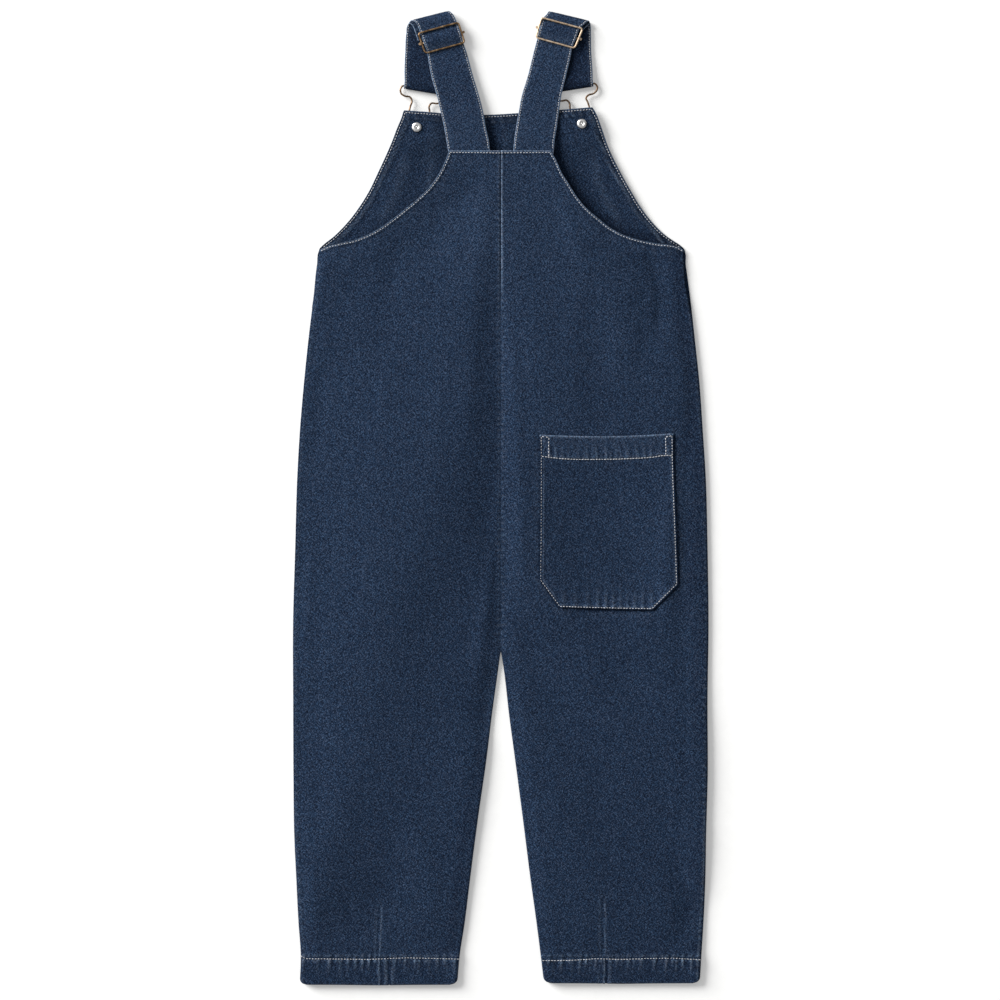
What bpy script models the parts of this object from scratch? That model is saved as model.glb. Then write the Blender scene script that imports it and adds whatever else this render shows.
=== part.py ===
"""Child's denim bib dungarees, laid flat on their front, seen from the back.

Sizes and places below are millimetres: X across the garment, Y up it towards the straps, Z up from the
surface it lies on. MM turns them into Blender's metres when a mesh or a curve is made. "Outer" is the
side of a strap, hook or slider away from the garment's middle, "inner" the side near it.
"""

import math

import bmesh
import bpy
import numpy as np

MM = 0.001
GAP = 0.3  # between pieces that meet or are sewn together

# Cloth and wire
WALL = 1.2  # one layer of denim with its seam turnings
HEM_WALL = 2.4  # folded hem: two layers
STRAP_WALL = 1.4  # strap, folded and pressed
WIRE = 1.8  # diameter of slider and hook wire

# Heights above the surface it lies on
FRONT_SEAM = 1.8  # where the front panels' rolled sides end
BACK_SEAM = FRONT_SEAM + 0.7  # the walls' inner corners lie closer than their outer ones
HEM_PARTING = 0.9  # the back's rolled sides stand this much higher at the hem's corners
BACK_BASE = 4.3  # outer face of the back panels, folds aside
HEM_TOP = 5.6  # outer face of the back panels' hem bands
TOP_EDGE = 8.9  # outer face of the back panels where they cover the straps' ends

# Lengthways places
BIB_NOMINAL_TOP = 387.0
WAIST = 190.0  # hidden seam between front bib and front legs
BACK_TOP = 346.5
UNDERARM = 248.0
CROTCH = -153.0
HEM_LINE = -460.0
HEM_BOTTOM = {-1: -486.5, 1: -485.0}  # left and right leg
HEM_CORNER = 6.0
ROLL_WIDTH = 2.2
ROLL_ANGLES = (0.0, 12.0, 35.0, 62.0)
# Stretches over which something changes: where it starts and where it is full
SIDE_ROLL = (UNDERARM + 1.0, UNDERARM - 10.0)
INSEAM_ROLL = (CROTCH + 2.0, CROTCH - 22.0)
BACK_HEM = (HEM_LINE + 10.0, HEM_LINE - 2.0)
FRONT_HEM = (HEM_LINE + 4.0, HEM_LINE)
TOP_FALL = (BACK_TOP - 4.0, UNDERARM)
# Rows of points: from one place down to the next, and the steps between
BACK_ROWS = (
    (BACK_TOP, 300.0, 5),
    (300.0, 262.0, 5),
    (262.0, UNDERARM, 5),
    (UNDERARM, 236.0, 2),
    (236.0, CROTCH + 2.0, 13),
    (CROTCH + 2.0, CROTCH - 22.0, 3),
    (CROTCH - 22.0, BACK_HEM[0], 10),
    (*BACK_HEM, 2),
)
LEG_ROWS = (
    (WAIST - GAP, CROTCH + 2.0, 8),
    (CROTCH + 2.0, CROTCH - 22.0, 3),
    (CROTCH - 22.0, FRONT_HEM[0], 7),
    (*FRONT_HEM, 1),
)
BIB_ROWS = (
    (BIB_NOMINAL_TOP, 330.0, 8),
    (330.0, 263.0, 4),
    (263.0, 236.0, 3),
    (236.0, WAIST, 2),
)
BACK_COLUMNS = 10
LEG_COLUMNS = 3
BIB_COLUMNS = 17

# Garment's sides
SIDES = (
    # y, left x, right x
    (250.0, -180.6, 182.4),
    (233.0, -184.0, 185.2),
    (203.0, -187.2, 189.3),
    (158.0, -192.6, 194.3),
    (113.0, -197.2, 199.0),
    (68.0, -201.0, 202.1),
    (23.0, -203.6, 205.0),
    (-52.0, -205.8, 207.0),
    (-127.0, -207.9, 207.9),
    (-202.0, -207.8, 206.9),
    (-277.0, -207.5, 207.1),
    (-337.0, -206.7, 205.5),
    (-382.0, -204.6, 204.7),
    (-427.0, -202.3, 202.7),
    (-457.0, -200.2, 200.8),
    (-487.0, -201.2, 199.0),
)
# Inside leg
INSEAMS = (
    # y, left leg x, right leg x
    (-153.0, -0.15, 0.15),
    (-172.0, -2.7, 3.1),
    (-217.0, -8.9, 8.3),
    (-262.0, -14.4, 14.3),
    (-322.0, -23.0, 22.2),
    (-382.0, -30.8, 29.8),
    (-427.0, -36.4, 36.0),
    (-457.0, -41.0, 39.8),
    (-487.0, -43.6, 43.4),
)
# Armhole edge of the back panels
ARMHOLES = (
    # y, left x, right x
    (346.5, -52.2, 50.6),
    (338.0, -55.3, 55.5),
    (325.0, -61.6, 61.4),
    (313.5, -69.4, 68.6),
    (302.0, -80.4, 75.8),
    (290.5, -94.2, 85.2),
    (279.0, -108.7, 98.7),
    (269.5, -122.3, 111.3),
    (262.6, -135.6, 125.2),
    (258.0, -148.0, 140.4),
    (254.5, -163.3, 156.5),
    (251.5, -174.0, 176.0),
    (248.0, -180.8, 182.8),
)
# Side edges of the front bib
BIB_SIDES = (
    # y, left x, right x
    (387.0, -96.8, 91.4),
    (382.0, -98.0, 94.4),
    (370.0, -102.9, 99.4),
    (358.0, -107.6, 104.1),
    (346.0, -113.0, 109.2),
    (323.0, -123.7, 120.8),
    (308.0, -130.9, 129.2),
    (293.0, -140.0, 138.1),
    (278.0, -151.1, 149.3),
    (263.0, -165.3, 164.3),
    (250.0, -180.6, 182.4),
    (233.0, -184.0, 185.2),
    (203.0, -187.2, 189.3),
    (190.0, -189.0, 190.9),
)
# Top edge of the front bib
BIB_TOP = (
    # x, y
    (-98.0, 387.0),
    (-61.0, 384.5),
    (-16.0, 383.0),
    (17.0, 384.7),
    (59.0, 387.5),
    (92.0, 390.0),
)
BIB_TOP_FADE = 45.0  # below this depth the bib's rows are level

# Largest folds of the back panels: soft ridges (+) and troughs (-)
BACK_FOLDS = (
    # start x, start y, end x, end y, half width, height
    (0.0, 215.0, 0.0, -10.0, 17.0, -1.4),
    (0.0, -75.0, -3.0, -145.0, 15.0, -1.1),
    (-52.0, 300.0, -58.0, 180.0, 26.0, 0.9),
    (-100.0, 60.0, -165.0, -220.0, 38.0, 1.2),
    (-35.0, -60.0, -105.0, -250.0, 30.0, -1.0),
    (-172.0, -270.0, -187.0, -390.0, 17.0, 0.8),
    (-128.0, -330.0, -165.0, -440.0, 22.0, -1.0),
    (-85.0, -330.0, -95.0, -430.0, 24.0, 0.6),
    (58.0, 230.0, 72.0, 90.0, 20.0, 0.7),
    (128.0, 215.0, 122.0, 95.0, 22.0, 0.6),
    (95.0, 200.0, 97.0, 95.0, 12.0, -0.5),
    (70.0, -160.0, 92.0, -330.0, 30.0, 0.7),
    (101.0, -330.0, 102.0, -440.0, 16.0, -0.8),
    (158.0, -200.0, 150.0, -400.0, 26.0, 0.6),
)
FOLD_END = 40.0  # length over which a fold dies away past its ends
DEEPEST_FOLD = -1.5  # there the back panel lies on the front one

# Bib buttons: the bib lifts over each
BUTTONS = {-1: (-84.0, 370.5), 1: (81.0, 374.0)}
LIFT_HEIGHT = 5.2
LIFT_FLAT = 12.0
LIFT_REACH = 42.0
BUTTON_HEAD = (
    # radius, height: from the middle of the free face, out round the rim and up the post
    (0.0, 4.9),
    (2.2, 4.9),
    (2.2, 2.5),
    (7.2, 2.3),
    (8.2, 1.6),
    (8.2, 0.8),
    (7.4, 0.0),
    (0.0, 0.0),
)
TACK_BACK = (
    # radius, height over the cloth: dimple, domed ring, rim, underside
    (0.0, 1.0),
    (1.1, 1.1),
    (1.9, 1.9),
    (3.4, 1.7),
    (4.6, 1.0),
    (4.9, 0.4),
    (4.5, 0.0),
    (0.0, 0.0),
)
TURN_STEPS = 20

# Patch pocket on the right leg's back, by its sections
POCKET = (
    # y at left, left x, y at right, right x
    (62.7, 39.4, 64.0, 172.0),
    (41.6, 40.0, 42.3, 172.3),
    (-20.0, 40.0, -20.0, 175.0),
    (-82.7, 39.4, -86.5, 177.2),
    (-109.5, 59.2, -112.0, 151.7),
)
POCKET_ROWS = (2, 5, 5, 3)  # rows between one section and the next
POCKET_SAG = 2.2
POCKET_GAP = 0.45  # over the panel, whose points are not the pocket's
POCKET_COLUMNS = 10

# Straps, from the end under the back panel to the fold over the shoulder
STRAP_PLANS = {
    -1: (
        # outer x, outer y, inner x, inner y
        (-48.5, 332.0, -7.0, 332.0),
        (-52.5, 347.0, -10.5, 347.0),
        (-54.5, 358.0, -12.0, 358.0),
        (-56.5, 370.0, -14.8, 370.0),
        (-60.4, 387.0, -17.8, 387.0),
        (-63.4, 400.0, -21.1, 400.0),
        (-69.5, 422.0, -28.3, 424.0),
        (-72.2, 437.0, -34.6, 447.0),
        (-73.5, 445.3, -37.9, 455.0),
        (-76.8, 454.5, -40.8, 464.2),
        (-80.4, 463.5, -44.0, 473.4),
        (-90.2, 473.9, -51.7, 483.5),
    ),
    1: (
        (50.5, 332.0, 9.0, 332.0),
        (53.0, 347.0, 12.5, 347.0),
        (54.0, 358.0, 13.5, 358.0),
        (56.0, 370.0, 15.3, 370.0),
        (58.5, 388.0, 18.3, 388.0),
        (60.2, 400.0, 20.5, 400.0),
        (65.3, 422.0, 27.0, 422.0),
        (70.0, 442.0, 34.0, 450.0),
        (71.6, 450.4, 37.3, 459.6),
        (75.3, 460.0, 40.2, 469.6),
        (79.1, 468.4, 42.8, 478.0),
        (87.3, 473.8, 46.8, 482.3),
    ),
}
# Height of the strap's middle at those sections
STRAP_HEIGHTS = (
    # outer, inner
    (6.4, 6.4),
    (6.8, 6.8),
    (6.9, 6.7),
    (6.9, 6.4),
    (6.7, 5.9),
    (6.5, 5.4),
    (6.1, 4.9),
    (5.1, 4.6),
    (4.2, 4.2),
    (9.0, 9.0),
    (5.95, 5.95),
    (5.8, 5.8),
)
# The stretch that hangs down behind, from the shoulder fold to the turn round the hook's bar
HANGING_PLANS = {
    -1: (
        # outer x, outer y, inner x, inner y
        (-94.6, 465.0, -55.0, 474.0),
        (-95.6, 448.0, -57.0, 449.0),
        (-96.4, 427.0, -58.2, 423.0),
        (-96.6, 411.9, -58.8, 405.6),
    ),
    1: (
        (90.2, 465.0, 50.5, 473.0),
        (90.4, 448.0, 52.0, 449.0),
        (91.8, 427.0, 53.8, 424.0),
        (92.3, 414.1, 54.6, 408.1),
    ),
}
RETURN_HEIGHTS = (2.4, 2.4, 3.4, 4.5)  # middle of the layer that runs back up from the hook
FOLD_MIDDLE = 3.25  # height of the shoulder fold's axis
OUTER_FOLD = 2.55  # radius of the strap's middle round that axis, outer and nested layer
NESTED_FOLD = 0.85
HOOK_BAR_HEIGHT = 2.6
HOOK_TURN = 1.9  # radius of the strap's middle round the hook's bar
FOLD_STEPS = 6
STRAP_COLUMNS = 4
SEWN_END = 0.45  # share of the way from slider bar to upper bar where the strap's end is sewn

# Wire slider: its corners, and the heights of its lower and upper bars
SLIDER_CORNERS = {
    -1: (
        # x, y: outer lower, inner lower, inner upper, outer upper
        (-75.4, 444.4),
        (-36.0, 455.1),
        (-42.4, 475.0),
        (-82.4, 464.0),
    ),
    1: (
        (73.9, 449.4),
        (35.2, 460.1),
        (40.8, 479.7),
        (81.8, 468.7),
    ),
}
SLIDER_LOWER = 6.15
SLIDER_UPPER = 7.85
SLIDER_CORNER = 3.0
SLIDER_BAR_WIRE = 1.6
BAR_CURL = (
    # distance past the side wire, height over it
    (-8.0, 0.0),
    (-5.0, 0.0),
    (-3.2, -0.5),
    (-1.6, -1.7),
    (0.2, -2.05),
    (1.7, -1.3),
    (2.05, 0.2),
)

# Wire hook: from its bar's outer end inwards, down round the button's post and back up
HOOKS = {
    -1: (
        # x, y, z
        (-93.0, 411.4, 2.6),
        (-78.0, 408.8, 2.6),
        (-62.0, 406.3, 2.6),
        (-57.2, 405.4, 2.6),
        (-54.4, 402.2, 2.6),
        (-56.2, 397.6, 2.6),
        (-60.0, 395.2, 2.7),
        (-64.5, 394.6, 2.8),
        (-69.4, 394.8, 2.8),
        (-71.6, 392.0, 2.8),
        (-71.2, 386.5, 2.8),
        (-73.0, 380.5, 3.3),
        (-78.3, 374.6, 3.8),
        (-80.3, 371.5, 3.8),
        (-81.1, 368.0, 3.8),
        (-84.0, 366.7, 3.8),
        (-86.9, 368.0, 3.8),
        (-87.7, 371.5, 3.8),
        (-89.3, 374.8, 3.8),
        (-91.6, 380.5, 3.3),
        (-91.6, 387.0, 2.8),
        (-90.4, 392.0, 2.8),
        (-88.9, 397.0, 2.8),
        (-90.6, 400.9, 2.8),
        (-96.0, 402.2, 2.7),
        (-99.3, 404.2, 2.6),
        (-100.4, 408.8, 2.6),
        (-98.4, 412.1, 2.6),
    ),
    1: (
        (89.0, 413.7, 2.6),
        (74.0, 411.3, 2.6),
        (58.0, 408.8, 2.6),
        (52.6, 407.6, 2.6),
        (49.8, 404.4, 2.6),
        (51.8, 399.6, 2.6),
        (56.0, 397.4, 2.7),
        (61.0, 397.2, 2.8),
        (66.2, 397.8, 2.8),
        (68.6, 395.2, 2.8),
        (69.4, 389.5, 2.8),
        (71.4, 384.0, 3.3),
        (75.4, 378.2, 3.8),
        (77.3, 375.0, 3.8),
        (78.1, 371.5, 3.8),
        (81.0, 370.2, 3.8),
        (83.9, 371.5, 3.8),
        (84.7, 375.0, 3.8),
        (86.4, 379.4, 3.8),
        (88.3, 384.5, 3.3),
        (88.6, 390.5, 2.8),
        (87.2, 395.5, 2.8),
        (85.4, 400.5, 2.8),
        (87.8, 403.1, 2.8),
        (92.6, 404.6, 2.7),
        (95.8, 407.6, 2.6),
        (96.6, 411.2, 2.6),
        (94.2, 414.5, 2.6),
    ),
}
SIDE_NAMES = {-1: "left", 1: "right"}


def clear_scene():
    """Start from an empty scene and give back the garment's collection."""
    for found in list(bpy.data.objects):
        bpy.data.objects.remove(found)
    garment = bpy.data.collections.new("bib_dungarees")
    bpy.context.scene.collection.children.link(garment)
    return garment


def material(name, colour, roughness, metallic=0.0):
    """A Principled material of one colour."""
    made = bpy.data.materials.new(name)
    made.use_nodes = True
    shader = made.node_tree.nodes["Principled BSDF"]
    shader.inputs["Base Color"].default_value = (*colour, 1.0)
    shader.inputs["Roughness"].default_value = roughness
    shader.inputs["Metallic"].default_value = metallic
    return made


def smooth_value(table, column, place):
    """The value in a table's column at a place in its first column, on a curve through the rows."""
    rows = sorted(table)
    places = np.array([row[0] for row in rows])
    values = np.array([row[column] for row in rows])
    slopes = np.gradient(values, places)
    place = min(max(place, places[0]), places[-1])
    i = min(int(np.searchsorted(places, place, side="right")) - 1, len(rows) - 2)
    step = places[i + 1] - places[i]
    t = (place - places[i]) / step
    return float(
        (1 + 2 * t) * (1 - t) ** 2 * values[i]
        + t * (1 - t) ** 2 * step * slopes[i]
        + t * t * (3 - 2 * t) * values[i + 1]
        + t * t * (t - 1) * step * slopes[i + 1]
    )


def ramp(value, start, end):
    """0 at start, 1 at end, smooth between."""
    t = min(max((value - start) / (end - start), 0.0), 1.0)
    return t * t * (3 - 2 * t)


def between(first, second, share):
    """The point a share of the way from one point to another."""
    return tuple(a + (b - a) * share for a, b in zip(first, second))


def fold_height(x, y):
    """What the back panels' folds add at a place."""
    total = 0.0
    for x0, y0, x1, y1, half_width, height in BACK_FOLDS:
        length = math.hypot(x1 - x0, y1 - y0)
        along = ((x - x0) * (x1 - x0) + (y - y0) * (y1 - y0)) / length
        across = ((x - x0) * (y1 - y0) - (y - y0) * (x1 - x0)) / length
        past = max(-along, along - length, 0.0)
        total += height * math.exp(-((across / half_width) ** 2) - (past / FOLD_END) ** 2)
    return max(total, DEEPEST_FOLD)


def back_height(x, y):
    """Height of the back panels' outer face."""
    plain = BACK_BASE + fold_height(x, y)
    at_top = TOP_EDGE + (plain - TOP_EDGE) * ramp(y, *TOP_FALL)
    return at_top + (HEM_TOP - at_top) * ramp(y, *BACK_HEM)


def bib_lift(x, y):
    """Height of the front bib's outer face, which lifts over the two buttons."""
    lift = 0.0
    for bx, by in BUTTONS.values():
        away = math.hypot(x - bx, y - by)
        lift = max(lift, LIFT_HEIGHT * (1.0 - ramp(away, LIFT_FLAT, LIFT_REACH)))
    return lift


def side_column(side):
    """Column of a left/right table."""
    return 1 if side < 0 else 2


def hem_inset(side, y):
    """How far a hem's rounded corner pulls a leg's edge in."""
    above = y - HEM_BOTTOM[side]
    if above >= HEM_CORNER:
        return 0.0
    return HEM_CORNER - math.sqrt(HEM_CORNER**2 - (HEM_CORNER - above) ** 2)


def stations(*stretches):
    """Places along the garment: (first, last, steps) for each stretch, top to bottom."""
    places = []
    for first, last, steps in stretches:
        places += list(np.linspace(first, last, steps, endpoint=False))
    return [float(place) for place in places + [stretches[-1][1]]]


def across(left, right, columns, rolls, height, seam):
    """One section of a panel: (x, z) from left to right, with its edges rolled to the seam's height."""
    points = []
    for side, edge in ((1, left), (-1, right)):
        strip = []
        for angle in ROLL_ANGLES:
            x = edge + side * ROLL_WIDTH * (1.0 - math.cos(math.radians(angle)))
            drop = rolls[side] * (1.0 - math.sin(math.radians(angle)))
            top = height(x)
            strip.append((x, top + (seam - top) * drop))
        points.append(strip)
    middle = [
        (x, height(x)) for x in np.linspace(left + ROLL_WIDTH, right - ROLL_WIDTH, columns)
    ]
    return points[0] + middle + points[1][::-1]


def grid_object(name, rows, finish, outward_up=True):
    """An open sheet of quads through rows of (x, y, z) points."""
    mesh = bpy.data.meshes.new(name)
    body = bmesh.new()
    made = [[body.verts.new([MM * value for value in point]) for point in row] for row in rows]
    for upper, lower in zip(made, made[1:]):
        for i in range(len(upper) - 1):
            corners = (lower[i], lower[i + 1], upper[i + 1], upper[i])
            body.faces.new(corners if outward_up else corners[::-1])
    body.to_mesh(mesh)
    body.free()
    mesh.shade_smooth()
    mesh.materials.append(finish)
    return bpy.data.objects.new(name, mesh)


def thicken(sheet, walls, offset=-1.0):
    """Give a sheet its wall, thick as listed for each point, on the side away from its face."""
    thickest = max(walls)
    group = sheet.vertex_groups.new(name="wall")
    for index, wall in enumerate(walls):
        group.add([index], wall / thickest, "REPLACE")
    shell = sheet.modifiers.new("wall", "SOLIDIFY")
    shell.thickness = thickest * MM
    shell.offset = offset
    shell.use_even_offset = True
    shell.vertex_group = group.name


def back_panel(side, finish):
    """Back of one side: bib and leg in one piece, from the top edge to the hem."""
    column = side_column(side)
    bottom = HEM_BOTTOM[side]
    corner = bottom + HEM_CORNER
    rows, walls = [], []
    for y in stations(*BACK_ROWS, (BACK_HEM[1], corner, 2), (corner, bottom, 3)):
        table = ARMHOLES if y > UNDERARM else SIDES
        outer = smooth_value(table, column, y) - side * hem_inset(side, y)
        inner = side * GAP / 2
        if y < CROTCH:
            inner = smooth_value(INSEAMS, column, y) + side * hem_inset(side, y)
        outer_roll = ramp(y, *SIDE_ROLL)
        inner_roll = ramp(y, *INSEAM_ROLL)
        left, right = (outer, inner) if side < 0 else (inner, outer)
        rolls = {1: outer_roll, -1: inner_roll} if side < 0 else {1: inner_roll, -1: outer_roll}
        seam = BACK_SEAM + HEM_PARTING * ramp(y, corner, bottom)
        section = across(left, right, BACK_COLUMNS, rolls, lambda x, y=y: back_height(x, y), seam)
        rows.append([(x, y, z) for x, z in section])
        thick = WALL + (HEM_WALL - WALL) * ramp(y, *BACK_HEM)
        edge = len(ROLL_ANGLES)
        walls += [thick if edge <= i < len(section) - edge else WALL for i in range(len(section))]
    panel = grid_object("back_" + SIDE_NAMES[side], rows, finish)
    thicken(panel, walls)
    return panel


def front_leg(side, finish):
    """Front of one leg, flat on the surface, from the waist seam to the hem."""
    column = side_column(side)
    bottom = HEM_BOTTOM[side]
    corner = bottom + HEM_CORNER
    rows, walls = [], []
    for y in stations(*LEG_ROWS, (HEM_LINE, corner, 2), (corner, bottom, 3)):
        outer = smooth_value(SIDES, column, y) - side * hem_inset(side, y)
        inner = side * GAP / 2
        if y < CROTCH:
            inner = smooth_value(INSEAMS, column, y) + side * hem_inset(side, y)
        inner_roll = ramp(y, *INSEAM_ROLL)
        left, right = (outer, inner) if side < 0 else (inner, outer)
        rolls = {1: 1.0, -1: inner_roll} if side < 0 else {1: inner_roll, -1: 1.0}
        section = across(left, right, LEG_COLUMNS, rolls, lambda x: 0.0, FRONT_SEAM)
        rows.append([(x, y, z) for x, z in section])
        thick = WALL + (HEM_WALL - WALL) * ramp(y, *FRONT_HEM)
        edge = len(ROLL_ANGLES)
        walls += [thick if edge <= i < len(section) - edge else WALL for i in range(len(section))]
    leg = grid_object("front_" + SIDE_NAMES[side] + "_leg", rows, finish, outward_up=False)
    thicken(leg, walls)
    return leg


def front_bib(finish):
    """Front bib in one piece, from its top edge to the waist seam, lifted over the buttons."""
    rows, walls = [], []
    for place in stations(*BIB_ROWS):
        left = smooth_value(BIB_SIDES, 1, place)
        right = smooth_value(BIB_SIDES, 2, place)
        roll = ramp(place, *SIDE_ROLL)
        level = ramp(place, BIB_NOMINAL_TOP, BIB_NOMINAL_TOP - BIB_TOP_FADE)
        row = []
        rolls = {1: roll, -1: roll}
        for x, z in across(left, right, BIB_COLUMNS, rolls, lambda x: 0.0, FRONT_SEAM):
            y = place + (smooth_value(BIB_TOP, 1, x) - BIB_NOMINAL_TOP) * (1.0 - level)
            row.append((x, y, z + bib_lift(x, y)))
        rows.append(row)
        walls += [WALL] * len(row)
    bib = grid_object("front_bib", rows, finish, outward_up=False)
    thicken(bib, walls)
    return bib


def back_pocket(finish):
    """Patch pocket: it follows the right back panel, moved out by its own wall."""
    rows, walls = [], []
    for i, steps in enumerate(POCKET_ROWS):
        last = i == len(POCKET_ROWS) - 1
        for step in range(steps + 1 if last else steps):
            y0, x0, y1, x1 = between(POCKET[i], POCKET[i + 1], step / steps)
            in_hem = i == 0 or (i == 1 and step == 0)
            wall = HEM_WALL if in_hem else WALL
            sag = POCKET_SAG * (1.0 - (i + step / steps) / 2) if i < 2 else 0.0
            row = []
            for share in np.linspace(0.0, 1.0, POCKET_COLUMNS):
                x = x0 + (x1 - x0) * share
                y = y0 + (y1 - y0) * share - sag * 4 * share * (1 - share)
                row.append((x, y, back_height(x, y) + POCKET_GAP + wall))
            rows.append(row)
            walls += [wall] * len(row)
    pocket = grid_object("back_pocket", rows, finish)
    thicken(pocket, walls)
    return pocket


def turn(outer, inner, ahead, middle, radius, start, end):
    """Sections of a strap that turns over: half a circle from one height round to the other."""
    rows = []
    for step in range(1, FOLD_STEPS):
        angle = math.radians(start + (end - start) * step / FOLD_STEPS)
        reach = radius * math.cos(angle)
        height = middle + radius * math.sin(angle)
        ends = [(x + ahead[0] * reach, y + ahead[1] * reach, height) for x, y in (outer, inner)]
        rows.append(tuple(ends))
    return rows


def square_to(outer, inner, upward):
    """Unit direction square to the line between two points, up or down the garment."""
    dx, dy = inner[0] - outer[0], inner[1] - outer[1]
    length = math.hypot(dx, dy)
    direction = (-dy / length, dx / length)
    if (direction[1] > 0) != upward:
        direction = (-direction[0], -direction[1])
    return direction


def strap_sections(side):
    """Sections of one strap along its whole path, each an outer and an inner (x, y, z) end."""
    plan, hanging = STRAP_PLANS[side], HANGING_PLANS[side]
    sections = []
    for (ox, oy, ix, iy), (oz, iz) in zip(plan, STRAP_HEIGHTS):
        sections.append(((ox, oy, oz), (ix, iy, iz)))
    top_outer, top_inner = plan[-1][:2], plan[-1][2:]
    end_outer, end_inner = hanging[-1][:2], hanging[-1][2:]
    up = square_to(top_outer, top_inner, True)
    down = square_to(end_outer, end_inner, False)
    sections += turn(top_outer, top_inner, up, FOLD_MIDDLE, OUTER_FOLD, 90.0, -90.0)
    low = FOLD_MIDDLE - OUTER_FOLD
    sections.append(((*top_outer, low), (*top_inner, low)))
    for ox, oy, ix, iy in hanging:
        sections.append(((ox, oy, low), (ix, iy, low)))
    sections += turn(end_outer, end_inner, down, HOOK_BAR_HEIGHT, HOOK_TURN, -90.0, 90.0)
    for (ox, oy, ix, iy), z in zip(reversed(hanging), reversed(RETURN_HEIGHTS)):
        sections.append(((ox, oy, z), (ix, iy, z)))
    low = FOLD_MIDDLE - NESTED_FOLD
    high = FOLD_MIDDLE + NESTED_FOLD
    sections.append(((*top_outer, low), (*top_inner, low)))
    sections += turn(top_outer, top_inner, up, FOLD_MIDDLE, NESTED_FOLD, -90.0, 90.0)
    sections.append(((*top_outer, high), (*top_inner, high)))
    upper, bar = plan[-2], plan[-3]
    sections.append(((*upper[:2], high), (*upper[2:], high)))
    sewn = between(bar, upper, SEWN_END)
    sections.append(((*sewn[:2], high), (*sewn[2:], high)))
    return sections


def strap(side, finish):
    """One strap: a folded band that runs through the slider, over the shoulder and round the hook."""
    rows = []
    for outer, inner in strap_sections(side):
        rows.append([between(outer, inner, i / (STRAP_COLUMNS - 1)) for i in range(STRAP_COLUMNS)])
    band = grid_object("strap_" + SIDE_NAMES[side], rows, finish)
    thicken(band, [STRAP_WALL] * (len(rows) * STRAP_COLUMNS), offset=0.0)
    return band


def smooth_path(points, steps, closed):
    """Points on a smooth curve through the given ones, which may be far apart or close."""
    places = [np.array(point) for point in points]
    count = len(places)
    stretches = [places[(i + 1) % count] - places[i] for i in range(count if closed else count - 1)]
    lengths = [np.linalg.norm(stretch) for stretch in stretches]
    headings = [stretch / length for stretch, length in zip(stretches, lengths)]
    slopes = []
    for i in range(count):
        before = i - 1 if closed or i > 0 else 0
        after = i if i < len(headings) else before
        weighed = lengths[after] * headings[before] + lengths[before] * headings[after]
        slopes.append(weighed / (lengths[before] + lengths[after]))
    path = []
    for i, length in enumerate(lengths):
        last = (i + 1) % count
        for t in np.arange(steps) / steps:
            path.append(
                (1 + 2 * t) * (1 - t) ** 2 * places[i]
                + t * (1 - t) ** 2 * length * slopes[i]
                + t * t * (3 - 2 * t) * places[last]
                + t * t * (t - 1) * length * slopes[last]
            )
    if not closed:
        path.append(places[-1])
    return path


def wire(name, path, diameter, closed, finish):
    """A round wire along a path."""
    data = bpy.data.curves.new(name, "CURVE")
    data.dimensions = "3D"
    data.bevel_depth = diameter / 2 * MM
    data.bevel_resolution = 2
    data.use_fill_caps = not closed
    spline = data.splines.new("POLY")
    spline.points.add(len(path) - 1)
    for point, place in zip(spline.points, path):
        point.co = (*(MM * float(value) for value in place), 1.0)
    spline.use_cyclic_u = closed
    data.materials.append(finish)
    return bpy.data.objects.new(name, data)


def slider_frame_path(side):
    """The slider's frame: a four-sided loop with round corners, tilted from lower to upper bar."""
    heights = (SLIDER_LOWER, SLIDER_LOWER, SLIDER_UPPER, SLIDER_UPPER)
    corners = [np.array((*corner, z)) for corner, z in zip(SLIDER_CORNERS[side], heights)]
    path = []
    for i, corner in enumerate(corners):
        before = corners[i - 1] - corner
        after = corners[(i + 1) % 4] - corner
        before *= SLIDER_CORNER / np.linalg.norm(before)
        after *= SLIDER_CORNER / np.linalg.norm(after)
        for t in (0.0, 0.25, 0.5, 0.75, 1.0):
            path.append(corner + before * (1 - t) ** 2 + after * t**2)
    return path


def slider_bar_path(side):
    """The slider's centre bar, with its ends curled under and round the frame's sides."""
    lower_outer, lower_inner, upper_inner, upper_outer = (
        np.array(corner) for corner in SLIDER_CORNERS[side]
    )
    outer = (lower_outer + upper_outer) / 2
    inner = (lower_inner + upper_inner) / 2
    outward = (outer - inner) / np.linalg.norm(outer - inner)
    height = (SLIDER_LOWER + SLIDER_UPPER) / 2
    curls = []
    for end, direction in ((outer, outward), (inner, -outward)):
        curls.append([(*(end + direction * past), height + over) for past, over in BAR_CURL])
    return smooth_path(curls[0][::-1] + curls[1], 2, closed=False)


def turned(name, profile, place, base, finish):
    """A turned piece from a table of radius and height, standing on a base height."""
    mesh = bpy.data.meshes.new(name)
    body = bmesh.new()
    points = [body.verts.new((radius * MM, 0.0, height * MM)) for radius, height in profile]
    for upper, lower in zip(points, points[1:]):
        body.edges.new((upper, lower))
    body.to_mesh(mesh)
    body.free()
    mesh.materials.append(finish)
    made = bpy.data.objects.new(name, mesh)
    made.location = (place[0] * MM, place[1] * MM, base * MM)
    spin = made.modifiers.new("turn", "SCREW")
    spin.steps = TURN_STEPS
    spin.render_steps = TURN_STEPS
    spin.use_merge_vertices = True
    spin.merge_threshold = 0.00001
    spin.use_smooth_shade = True
    return made


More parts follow.
